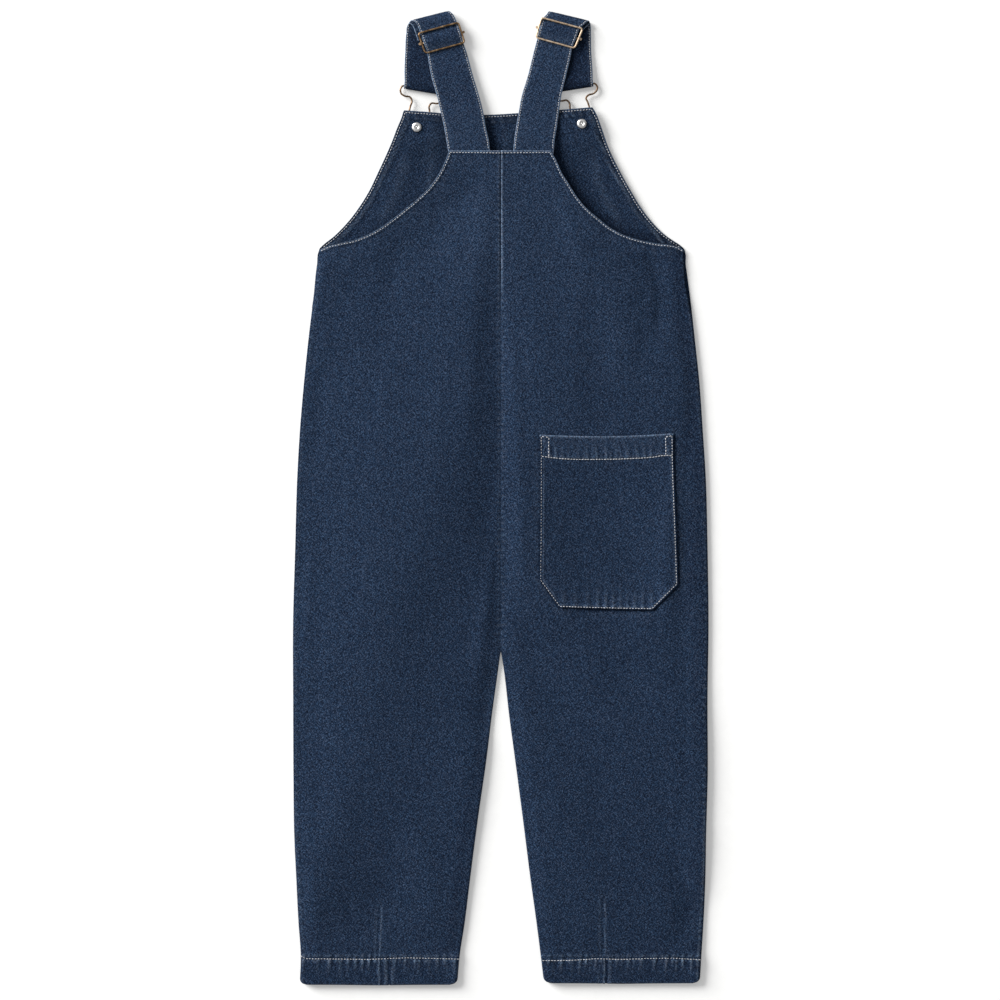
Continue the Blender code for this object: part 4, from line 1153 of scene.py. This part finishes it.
def pocket_panel():
    """Patch pocket: it follows the right back panel, moved out."""
    table = [(y0, x0, x1, y1 - y0) for y0, x0, y1, x1 in POCKET[::-1]]
    top, bottom = POCKET[0][0], POCKET[-1][0]
    places = row_places((top, top - 26.0, 1.0), (top - 26.0, POCKET[3][0], 2.0), (POCKET[3][0], bottom, 1.2))
    left, right, rise = (
        np.interp(places, [row[0] for row in table], [row[i] for row in table]) for i in (1, 2, 3)
    )
    share = np.concatenate([[0.0, 0.004, 0.011], np.linspace(0.02, 0.98, 88), [0.989, 0.996, 1.0]])
    x = left[:, None] + (right - left)[:, None] * share
    depth, reach = POCKET_SAG
    sag = depth * np.clip((places - (top - reach)) / reach, 0.0, 1.0)
    y = places[:, None] + rise[:, None] * share - sag[:, None] * 4 * share * (1 - share)
    sides = ((x[:, 0], y[:, 0]), (x[-1, 1:], y[-1, 1:]), (x[-2::-1, -1], y[-2::-1, -1]))
    line = [(float(a), float(b)) for xs, ys in sides for a, b in zip(xs, ys)]
    edge = line_distance(x, y, line[::2] + [line[-1]])
    top_edge = y - y[0][None, :]
    detail = pocket_detail(x, y, edge)
    z = pocket_height(x, y) + detail
    wall = CLOTH + np.maximum(detail, 0.0) * 0.9
    wear_and_highlight = height_wear(detail, 3, 1.3)
    wear_and_highlight += 0.34 * bell(top_edge, 1.1)
    above = y - curve(POCKET_HEM, 1, x)
    wear_and_highlight += 0.06 * ramp(above, 0.5, 4.0) * (0.5 + 0.5 * ripples(x, y, 7.6, 0.05, 91))
    tone = 0.03 * ramp(above, -1.0, 1.0) - 0.01
    # painted shadow: a dark line along the pocket's sides and bottom edge, with no pale wear there
    rim = bell(edge, 0.6) * ramp(top_edge, -0.5, -2.5)
    tone -= 0.34 * rim
    wear_and_highlight *= 1.0 - rim
    return sew_panel("patch_pocket", "back_pocket", x, y, z, wall, wear_and_highlight, tone, 4900.0, True)


# Straps


def smooth_path(points, spacing, closed=False):
    """Points about a spacing apart on a smooth curve through the given ones, near or far apart."""
    places = np.array(points, float)
    if closed:
        places = np.concatenate([places, places[:1]])
    lengths = np.linalg.norm(np.diff(places, axis=0), axis=1)
    headings = np.diff(places, axis=0) / lengths[:, None]
    count = len(places)
    slopes = np.empty_like(places)
    for i in range(count):
        before, after = i - 1, i
        if closed:
            before, after = before % (count - 1), after % (count - 1)
        else:
            before, after = max(before, 0), min(after, count - 2)
        weighed = lengths[after] * headings[before] + lengths[before] * headings[after]
        slopes[i] = weighed / (lengths[before] + lengths[after])
    path = []
    for i, length in enumerate(lengths):
        steps = max(1, math.ceil(length / spacing))
        for t in np.arange(steps) / steps:
            path.append(hermite(t, length, places[i], places[i + 1], slopes[i], slopes[i + 1]))
    if not closed:
        path.append(places[-1])
    return np.array(path)


def turn(begins, ends, ahead, middle, radius, start, end):
    """Sections of a strap that turns over: half a circle from one height to the other, which may drift."""
    rows = []
    for step in range(1, FOLD_STEPS):
        share = step / FOLD_STEPS
        angle = math.radians(start + (end - start) * share)
        reach, height = radius * math.cos(angle), middle + radius * math.sin(angle)
        row = []
        for (bx, by), (ex, ey) in zip(begins, ends):
            x, y = bx + (ex - bx) * share, by + (ey - by) * share
            row.append((x + ahead[0] * reach, y + ahead[1] * reach, height))
        rows.append(row)
    return rows


def square_to(outer, inner, upward):
    """Unit direction square to the line between two points, up or down the garment."""
    dx, dy = inner[0] - outer[0], inner[1] - outer[1]
    direction = (-dy / math.hypot(dx, dy), dx / math.hypot(dx, dy))
    return direction if (direction[1] > 0) == upward else (-direction[0], -direction[1])


def strap_sections(side):
    """Sections of one strap along its path, outer and inner end, then the numbers of four of them."""
    plan, hanging = STRAP_PLANS[side], HANGING_PLANS[side]
    sections = [((ox, oy, oz), (ix, iy, iz)) for (ox, oy, ix, iy), (oz, iz) in zip(plan, STRAP_HEIGHTS)]
    top_outer, top_inner = plan[-1][:2], plan[-1][2:]
    end_outer, end_inner = hanging[-1][:2], hanging[-1][2:]
    up = square_to(top_outer, top_inner, True)
    down = square_to(end_outer, end_inner, False)
    corners = hanging[0][:2], hanging[0][2:]
    sections += turn((top_outer, top_inner), corners, up, FOLD_MIDDLE, OUTER_FOLD, 90.0, -90.0)
    low = FOLD_MIDDLE - OUTER_FOLD
    sections += [((ox, oy, low), (ix, iy, low)) for ox, oy, ix, iy in hanging]
    shown = len(sections)
    ends = (end_outer, end_inner)
    sections += turn(ends, ends, down, HOOK_BAR_HEIGHT, HOOK_TURN, -90.0, 90.0)
    for (ox, oy, ix, iy), z in zip(reversed(hanging), reversed(RETURN_HEIGHTS)):
        sections.append(((ox, oy, z), (ix, iy, z)))
    returned = len(sections)
    high = FOLD_MIDDLE + NESTED_FOLD
    out, back = NESTED_SHIFT[side]
    nested = [(ox + out, oy + back, ix + out, iy + back) for ox, oy, ix, iy in plan[-3:]]
    tops = nested[-1][:2], nested[-1][2:]
    sections += turn(corners, tops, up, FOLD_MIDDLE, NESTED_FOLD, -90.0, 90.0)
    sections.append(((*tops[0], high), (*tops[1], high)))
    sections.append(((*nested[1][:2], high), (*nested[1][2:], high)))
    sewn = [a + (b - a) * SEWN_END for a, b in zip(nested[0], nested[1])]
    sections.append(((*sewn[:2], high), (*sewn[2:], high)))
    marks = (OVER_BAR, len(plan) - 1, shown - 1, returned - 1)
    return np.array([[*outer, *inner] for outer, inner in sections]), marks


def strap_frame(side, spacing):
    """Outer ends, inner ends, upward normals, lengths along the path, and where four sections lie on it."""
    sections, numbers = strap_sections(side)
    path = smooth_path(sections, spacing)
    outer, inner = path[:, :3], path[:, 3:]
    middle = (outer + inner) / 2
    ahead = np.gradient(middle, axis=0)
    normal = np.cross(inner - outer, ahead) * -side
    normal /= np.linalg.norm(normal, axis=1, keepdims=True)
    run = np.concatenate([[0.0], np.cumsum(np.linalg.norm(np.diff(middle, axis=0), axis=1))])
    marks = [int(np.argmin(np.linalg.norm(path - sections[number], axis=1))) for number in numbers]
    return outer, inner, normal, run, marks


def strap_half(edge, run):
    """Half the strap's thickness at a distance from its edge: round edges, pinched by the stitches."""
    rounded = np.sqrt(1.0 - (1.0 - np.clip(edge / 0.75, 0.0, 1.0)) ** 2)
    half = STRAP_HALF * rounded
    half = half - 0.17 * bell(edge - STRAP_INSET, 0.7) + 0.07 * ramp(edge, 2.4, 9.0)
    return half + 0.09 * ripples(run, edge, 5.3, 0.2, 7) * bell(edge - 2.5, 3.0) * rounded


def strap_wave(run, side):
    """Slow unevenness of the strap's face along its length."""
    return 0.16 * np.sin(run / 13.0 + side) + 0.12 * np.sin(run / 5.7 + 2.0 * side)


def strap_band(side):
    """A strap: a flat tube of denim along its path, closed at its ends."""
    outer, inner, normal, run, (over_bar, folded, _, _) = strap_frame(side, 1.6)
    width = np.linalg.norm(inner - outer, axis=1)
    near = np.array(NEAR_EDGE)
    shares = np.concatenate([near / 40.0, np.linspace(0.15, 0.85, 12), 1.0 - near[::-1] / 40.0])
    middle = outer[:, None, :] + (inner - outer)[:, None, :] * shares[None, :, None]
    edge = np.minimum(shares, 1.0 - shares)[None, :] * width[:, None]
    runs = np.repeat(run[:, None], len(shares), axis=1)
    half = strap_half(edge, runs)
    lift = strap_wave(runs, side) * ramp(edge, 0.0, 6.0) * 0.5
    top = middle + normal[:, None, :] * (half + lift)[..., None]
    under = middle - normal[:, None, :] * half[..., None]
    ring = np.concatenate([top, under[:, -2:0:-1]], axis=1)
    ring[..., 2] = np.maximum(ring[..., 2], 0.02)
    rows, columns = ring.shape[:2]
    index = np.arange(rows * columns).reshape(rows, columns)
    following = np.roll(index, -1, axis=1)
    faces = np.stack([index[:-1], following[:-1], following[1:], index[1:]], axis=-1).reshape(-1, 4)
    faces = faces.tolist() + [index[0][::-1].tolist(), index[-1].tolist()]
    if side < 0:
        faces = [face[::-1] for face in faces]
    across = np.concatenate([shares, shares[-2:0:-1]])
    face_offset = np.where(np.arange(columns) < len(shares), 5600.0, 5700.0) + 300.0 * side
    run_grid = np.repeat(run[:, None], columns, axis=1)
    cloth = cloth_places(across * width[:, None], run_grid, face_offset)
    edges = np.concatenate([edge, edge[:, -2:0:-1]], axis=1)
    # pale edges: worn fold edges, partly a painted highlight where the light catches them
    wear_and_highlight = 0.9 * bell(edges, 0.95) + 0.06 * bell(edges - 3.4, 1.2)
    wear_and_highlight += 0.08 * ripples(run_grid, edges, 5.3, 0.2, 7) * bell(edges - 3.0, 2.5)
    past_fold = ramp(run_grid, run[folded] - 1.0, run[folded] + 5.0)
    tone = 0.07 - 0.28 * past_fold + 0.02 * np.sin(run_grid / 19.0)
    # painted light before the slider's bar, where the strap slopes away from the lamp, and painted shade just
    # past it
    along_bar = run_grid - run[over_bar]
    tone += 0.22 * bell(along_bar + 6.0, 4.5) - 0.10 * bell(along_bar - 3.0, 5.0)
    if side > 0:
        # painted shadow of the main strap's outer edge on the hanging stretch behind it
        main_edge = [row[:2] for row in STRAP_PLANS[side][:8]] + list(SHADING_EDGE)
        tone -= 0.34 * past_fold * bell(line_distance(ring[..., 0], ring[..., 1], main_edge), 9.0)
    values = {"wear_and_highlight": np.clip(wear_and_highlight, -0.3, 1.0).ravel(), "tone": tone.ravel(), "cloth": cloth.reshape(-1, 3)}
    name = "denim_strap_" + SIDE_NAMES[side]
    made = smooth_mesh(name, ring.reshape(-1, 3), faces, DENIM, values)
    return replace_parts(made, "strap_" + SIDE_NAMES[side])


# Wire, buttons and tack backs


def wire(name, path, radius, closed, finish, node, swollen=0):
    """A wire along a path; its first and last swollen points are thicker."""
    data = bpy.data.curves.new(name, "CURVE")
    data.dimensions = "3D"
    data.bevel_depth = radius * MM
    data.bevel_resolution = 4
    data.use_fill_caps = not closed
    spline = data.splines.new("POLY")
    spline.points.add(len(path) - 1)
    for i, (point, place) in enumerate(zip(spline.points, path)):
        point.co = (*(MM * float(value) for value in place), 1.0)
        point.radius = 1.0 + 0.55 * (min(i, len(path) - 1 - i) < swollen)
    spline.use_cyclic_u = closed
    data.materials.append(finish)
    made = bpy.data.objects.new(name, data)
    bpy.context.scene.collection.objects.link(made)
    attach(made, "root")
    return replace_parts(made, node)


def slider_frame_path(side):
    """The middle of the slider's frame, with rounded corners."""
    heights = (SLIDER_LOWER + 0.2, SLIDER_LOWER + 0.2, SLIDER_UPPER, SLIDER_UPPER)
    corners = [np.array((*corner, z)) for corner, z in zip(SLIDER_CORNERS[side], heights)]
    path = []
    for i, corner in enumerate(corners):
        before = corners[i - 1] - corner
        after = corners[(i + 1) % 4] - corner
        before *= SLIDER_CORNER / np.linalg.norm(before)
        after *= SLIDER_CORNER / np.linalg.norm(after)
        for t in np.linspace(0.0, 1.0, 9):
            path.append(corner + before * (1 - t) ** 2 + after * t**2)
    return path


def slider_bar_path(side):
    """The middle of the slider's bar, whose ends curl round the frame."""
    lower_outer, lower_inner, upper_inner, upper_outer = map(np.array, SLIDER_CORNERS[side])
    outer = (lower_outer + upper_outer) / 2
    inner = (lower_inner + upper_inner) / 2
    outward = (outer - inner) / np.linalg.norm(outer - inner)
    height = (SLIDER_LOWER + SLIDER_UPPER) / 2 - BAR_DROP
    curls = []
    for end, direction in ((outer, outward), (inner, -outward)):
        curls.append([(*(end + direction * past), height + over) for past, over in BAR_CURL])
    return smooth_path(curls[0][::-1] + curls[1], 0.5)


def soil_in_grooves(points, place, profile):
    """Dull dark metal in a turned piece's dimple and under its rim."""
    away = np.hypot(np.array(points)[:, 0] - place[0], np.array(points)[:, 1] - place[1])
    reach = max(radius for radius, _ in profile)
    return 0.45 * bell(away - 0.24 * reach, 0.45) + 0.55 * bell(away - reach, 0.5)


def lathed(name, profile, place, base, finish, node):
    """A turned piece: its profile goes from the axis above, out and round to the axis below."""
    angles = np.arange(LATHE_STEPS) * 2 * math.pi / LATHE_STEPS
    points = [(place[0], place[1], base + profile[0][1])]
    for radius, height in profile[1:-1]:
        points += [
            (place[0] + radius * math.cos(a), place[1] + radius * math.sin(a), base + height) for a in angles
        ]
    points.append((place[0], place[1], base + profile[-1][1]))
    rings = len(profile) - 2
    faces = []
    for k in range(LATHE_STEPS):
        following = (k + 1) % LATHE_STEPS
        faces.append((0, 1 + k, 1 + following))
        for ring in range(rings - 1):
            a, b = 1 + ring * LATHE_STEPS, 1 + (ring + 1) * LATHE_STEPS
            faces.append((a + k, b + k, b + following, a + following))
        last = 1 + (rings - 1) * LATHE_STEPS
        faces.append((last + k, len(points) - 1, last + following))
    soil = soil_in_grooves(points, place, profile)
    made = smooth_mesh(name, points, faces, finish, {"soil": soil})
    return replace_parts(made, node)


# Sewing


def stitches(name, lines, kind, seed):
    """Stitches along lines; each line is (points, normals) of a path on the cloth. One object for all."""
    pitch, length, half = SEWING[kind]
    chance = np.random.default_rng(seed)
    shares = np.array([0.0, 0.14, 0.5, 0.86, 1.0])
    sizes = np.array([0.25, 0.82, 1.0, 0.82, 0.25])
    heights = np.array([-0.26, 0.02, 0.12, 0.02, -0.26])
    around = np.arange(6) * math.pi / 3
    all_points, faces, count = [], [], 0
    for points, normals in lines:
        points, normals = np.asarray(points), np.asarray(normals)
        run = np.concatenate([[0.0], np.cumsum(np.linalg.norm(np.diff(points, axis=0), axis=1))])
        number = max(1, int(run[-1] / pitch))
        step = run[-1] / number
        for k in range(number):
            begin = k * step + (step - length) / 2 + chance.uniform(-0.14, 0.14)
            at = np.clip(begin + shares * length * chance.uniform(0.92, 1.05), 0.0, run[-1])
            middle = np.stack([np.interp(at, run, points[:, i]) for i in range(3)], axis=1)
            normal = np.stack([np.interp(at, run, normals[:, i]) for i in range(3)], axis=1)
            normal /= np.linalg.norm(normal, axis=1, keepdims=True)
            heading = middle[-1] - middle[0]
            size = np.linalg.norm(heading)
            if size < 0.8:
                continue
            heading = heading / size
            beside = np.cross(heading, normal)
            beside /= np.linalg.norm(beside, axis=1, keepdims=True)
            shift = np.linspace(-1, 1, 5)[:, None] * chance.uniform(-0.13, 0.13)
            middle = middle + beside * (shift + chance.uniform(-0.08, 0.08)) + normal * heights[:, None]
            radius = half * sizes * chance.uniform(0.9, 1.08)
            ring = (
                middle[:, None, :]
                + beside[:, None, :] * (radius[:, None] * np.cos(around))[..., None]
                + normal[:, None, :] * (0.8 * radius[:, None] * np.sin(around))[..., None]
            )
            all_points.append(ring.reshape(-1, 3))
            for r in range(4):
                for c in range(6):
                    a, b = count + r * 6 + c, count + r * 6 + (c + 1) % 6
                    faces.append((a, b, b + 6, a + 6))
            faces.append(tuple(range(count + 5, count - 1, -1)))
            faces.append(tuple(range(count + 24, count + 30)))
            count += 30
    return smooth_mesh(name, np.concatenate(all_points), faces, THREAD_WHITE)


def on_cloth(line, height, down=False):
    """A sewing line laid on a height function: points and normals."""
    if len(line) > 2:
        flat = smooth_path([(x, y, 0.0) for x, y in line], 0.7)
    else:
        (x0, y0), (x1, y1) = line
        steps = max(2, int(math.hypot(x1 - x0, y1 - y0) / 0.7))
        flat = np.linspace((x0, y0, 0.0), (x1, y1, 0.0), steps)
    x, y = flat[:, 0], flat[:, 1]
    z = height(x, y)
    reach = 0.8
    slope_x = (height(x + reach, y) - height(x - reach, y)) / (2 * reach)
    slope_y = (height(x, y + reach) - height(x, y - reach)) / (2 * reach)
    normals = np.stack([-slope_x, -slope_y, np.ones_like(x)], axis=1)
    if down:
        normals = np.tile((0.0, 0.0, -1.0), (len(x), 1))
    return np.stack([x, y, z], axis=1), normals


def inset_corners(line, distance):
    """A line of few corners moved to the right of its run, its corners kept sharp."""
    points = [np.array(point, float) for point in line]
    sides = []
    for a, b in zip(points[:-1], points[1:]):
        heading = (b - a) / np.linalg.norm(b - a)
        sides.append((a + np.array((heading[1], -heading[0])) * distance, heading))
    moved = [sides[0][0]]
    for (a, u), (b, v) in zip(sides[:-1], sides[1:]):
        cross = u[0] * v[1] - u[1] * v[0]
        moved.append(a + u * ((b - a)[0] * v[1] - (b - a)[1] * v[0]) / cross)
    moved.append(points[-1] + np.array((sides[-1][1][1], -sides[-1][1][0])) * distance)
    return [(float(x), float(y)) for x, y in moved]


def offset_line(line, distance):
    """A line moved sideways, to the left of its run when distance is positive."""
    points = np.array(line, float)
    heading = np.gradient(points, axis=0)
    heading /= np.linalg.norm(heading, axis=1, keepdims=True)
    moved = points + np.stack([-heading[:, 1], heading[:, 0]], axis=1) * distance
    return [(float(a), float(b)) for a, b in moved]


def hem_line(side):
    """The hem's stitching as points a few millimetres apart, so that it keeps its corners."""
    xs, ys = zip(*HEM_STITCHES[side])
    places = np.linspace(xs[0], xs[-1], 48)
    return list(zip(places.tolist(), np.interp(places, xs, ys).tolist()))


def back_sewing(side):
    """The seams of one back panel: armhole and top edge, then the hem."""
    edge = armhole_line(side)
    armhole = offset_line(edge[::3] + [edge[-1]], EDGE_INSET * side)
    top = BACK_TOP - EDGE_INSET
    armhole = [(x, y) for x, y in armhole if y < top - 0.4]
    corner = (float(curve(ARMHOLES, side_column(side), top)) - side * EDGE_INSET * 1.15, top)
    lines = [armhole + [corner], [corner, (0.0, top - 0.6)], hem_line(side)]
    return [on_cloth(line, lambda x, y: panel_surface(x, y, side)) for line in lines]


def bib_sewing():
    """The bib's sides and top, on both faces."""
    outline = bib_outline()
    count = BIB_EDGE_POINTS
    edges = outline[:count:4] + [outline[count - 1]], outline[count - 1 : -count + 1 : 4] + [outline[-count]]
    edges = (*edges, outline[-count:][::4] + [outline[-1]])
    moved = inset_corners([point for edge in edges for point in edge[:-1]] + [outline[-1]], BIB_INSET)
    first, second = len(edges[0]) - 1, len(edges[0]) + len(edges[1]) - 2

    def inner(x, y):
        return bib_inner_height(x, y, line_distance(x, y, outline))

    lines = []
    for line in (moved[: first + 1], moved[first : second + 1], moved[second:]):
        lines.append(on_cloth(line, inner))
        lines.append(on_cloth(line, lambda x, y: bib_lift(x, y) + UNDER_STITCH, down=True))
    return lines


def pocket_surface(x, y, edge=POCKET_INSET):
    """Height of the pocket's outer face, at this distance from its edge."""
    return pocket_height(x, y) + pocket_detail(x, y, np.full(np.shape(x), edge))


def pocket_field(x, y):
    """The same, away from its edge."""
    return pocket_surface(x, y, 9.0)


def strap_sewing(side):
    """Both edges of a strap, on both faces of what shows."""
    outer, inner, normal, run, (_, folded, _, returned) = strap_frame(side, 0.9)
    width = np.linalg.norm(inner - outer, axis=1)
    start = int(np.searchsorted(outer[:, 1], BACK_TOP + 2.0))
    lines = []
    for share in (STRAP_INSET / width, 1.0 - STRAP_INSET / width):
        middle = outer + (inner - outer) * share[:, None]
        half = strap_half(np.full(len(run), STRAP_INSET), run)
        for face, end in ((1.0, returned), (-1.0, folded)):
            points = middle + normal * (face * (half + 0.02))[:, None]
            points[:, 2] = np.maximum(points[:, 2], 0.42)
            lines.append((points[start:end], (face * normal)[start:end]))
    return lines


# The garment

backs = {side: back_panel(side) for side in (-1, 1)}
legs = {side: front_leg(side) for side in (-1, 1)}
bib = front_bib()
pocket = pocket_panel()
straps = {side: strap_band(side) for side in (-1, 1)}

for side, word in SIDE_NAMES.items():
    # the right slider gets the paler, painted-lit copy of the bronze
    metal = BRONZE if side < 0 else PAINTED_LIT_BRONZE
    wire("slider_wire_" + word, slider_frame_path(side), 0.92, True, metal, "slider_frame_" + word)
    wire("slider_rod_" + word, slider_bar_path(side), 0.85, False, metal, "slider_bar_" + word, 4)
    hook = smooth_path(HOOKS[side], 0.8, closed=True)
    wire("hook_wire_" + word, hook, 0.9, True, DARK_BRONZE, "hook_" + word)
    lathed("bib_button_" + word, BUTTON_RIM, BUTTONS[side], 0.0, DARK_BRONZE, "button_" + word)
    base = LIFT_HEIGHT + WALL + 0.05
    lathed("tack_back_" + word, TACK_DOME, BUTTONS[side], base, NICKEL, "tack_" + word)

back_seams = {
    side: stitches("back_stitches_" + word, back_sewing(side), "panels", 5 + side)
    for side, word in SIDE_NAMES.items()
}
bib_seams = stitches("bib_stitches", bib_sewing(), "panels", 9)
for side, word in SIDE_NAMES.items():
    line = on_cloth(hem_line(side), lambda x, y: np.full(np.shape(x), UNDER_STITCH), down=True)
    stitches("under_stitches_" + word, [line], "panels", 15 + side)
sides = ((0, 4), (3, 5), (4, 7), (6, 8), (7, 12))
pocket_lines = [on_cloth(POCKET_STITCHES[start:end], pocket_surface) for start, end in sides]
pocket_hem_seam = stitches("pocket_hem_stitches", [on_cloth(POCKET_HEM, pocket_field)], "pocket hem", 14)
pocket_lines += [on_cloth(line, pocket_field) for line in POCKET_CORNERS]
pocket_seams = stitches("pocket_stitches", pocket_lines, "pocket", 12)
strap_seams = {
    side: stitches("strap_stitches_" + word, strap_sewing(side), "straps", 30 + side)
    for side, word in SIDE_NAMES.items()
}

# Floor, light and camera

floor_mesh = bpy.data.meshes.new("floor")
corners = ((-1, -1), (1, -1), (1, 1), (-1, 1))
floor_mesh.from_pydata([(12 * a, 12 * b, -0.0002) for a, b in corners], [], [(0, 1, 2, 3)])
floor_finish, floor_tree, floor_shader = new_material("pale_floor")
floor_grain = noise(floor_tree, add_node(floor_tree, "ShaderNodeTexCoord").outputs["Object"], 90.0, 2.0)
floor_tree.links.new(
    colour_steps(floor_tree, floor_grain, ((0.3, (0.73, 0.73, 0.725)), (0.7, (0.75, 0.75, 0.745)))),
    floor_shader.inputs["Base Color"],
)
floor_shader.inputs["Roughness"].default_value = 0.9
floor_shader.inputs["Emission Color"].default_value = (1.0, 1.0, 0.99, 1.0)
floor_shader.inputs["Emission Strength"].default_value = 0.21  # a lit white table, which softens the shadow
floor_shader.inputs["Specular IOR Level"].default_value = 0.1
floor_mesh.materials.append(floor_finish)
floor = bpy.data.objects.new("floor", floor_mesh)
bpy.context.scene.collection.objects.link(floor)

key_data = bpy.data.lights.new("key", "AREA")
key_data.shape = "DISK"
key_data.size = KEY_SIZE
key_data.energy = KEY_POWER
key_data.color = (1.0, 0.995, 0.985)
key = bpy.data.objects.new("key", key_data)
bpy.context.scene.collection.objects.link(key)
elevation, azimuth = math.radians(KEY_ELEVATION), math.radians(KEY_AZIMUTH)
key.location = (
    KEY_DISTANCE * math.cos(elevation) * math.cos(azimuth),
    KEY_DISTANCE * math.cos(elevation) * math.sin(azimuth),
    KEY_DISTANCE * math.sin(elevation),
)
key.rotation_euler = (-key.location).to_track_quat("-Z", "Y").to_euler()

world = bpy.data.worlds.new("studio")
world.use_nodes = True
world.node_tree.nodes["Background"].inputs["Color"].default_value = (0.985, 0.99, 1.0, 1.0)
world.node_tree.nodes["Background"].inputs["Strength"].default_value = SKY
bpy.context.scene.world = world
bpy.context.scene.view_settings.view_transform = "Standard"

camera_data = bpy.data.cameras.new("camera")
camera_data.lens = 100.0
camera_data.sensor_width = 36.0
camera_data.clip_end = 40.0
camera = bpy.data.objects.new("camera", camera_data)
camera.location = (-0.0008, -0.002, 1.0 * 100.0 / 36.0 + 0.004)
bpy.context.scene.collection.objects.link(camera)
bpy.context.scene.camera = camera
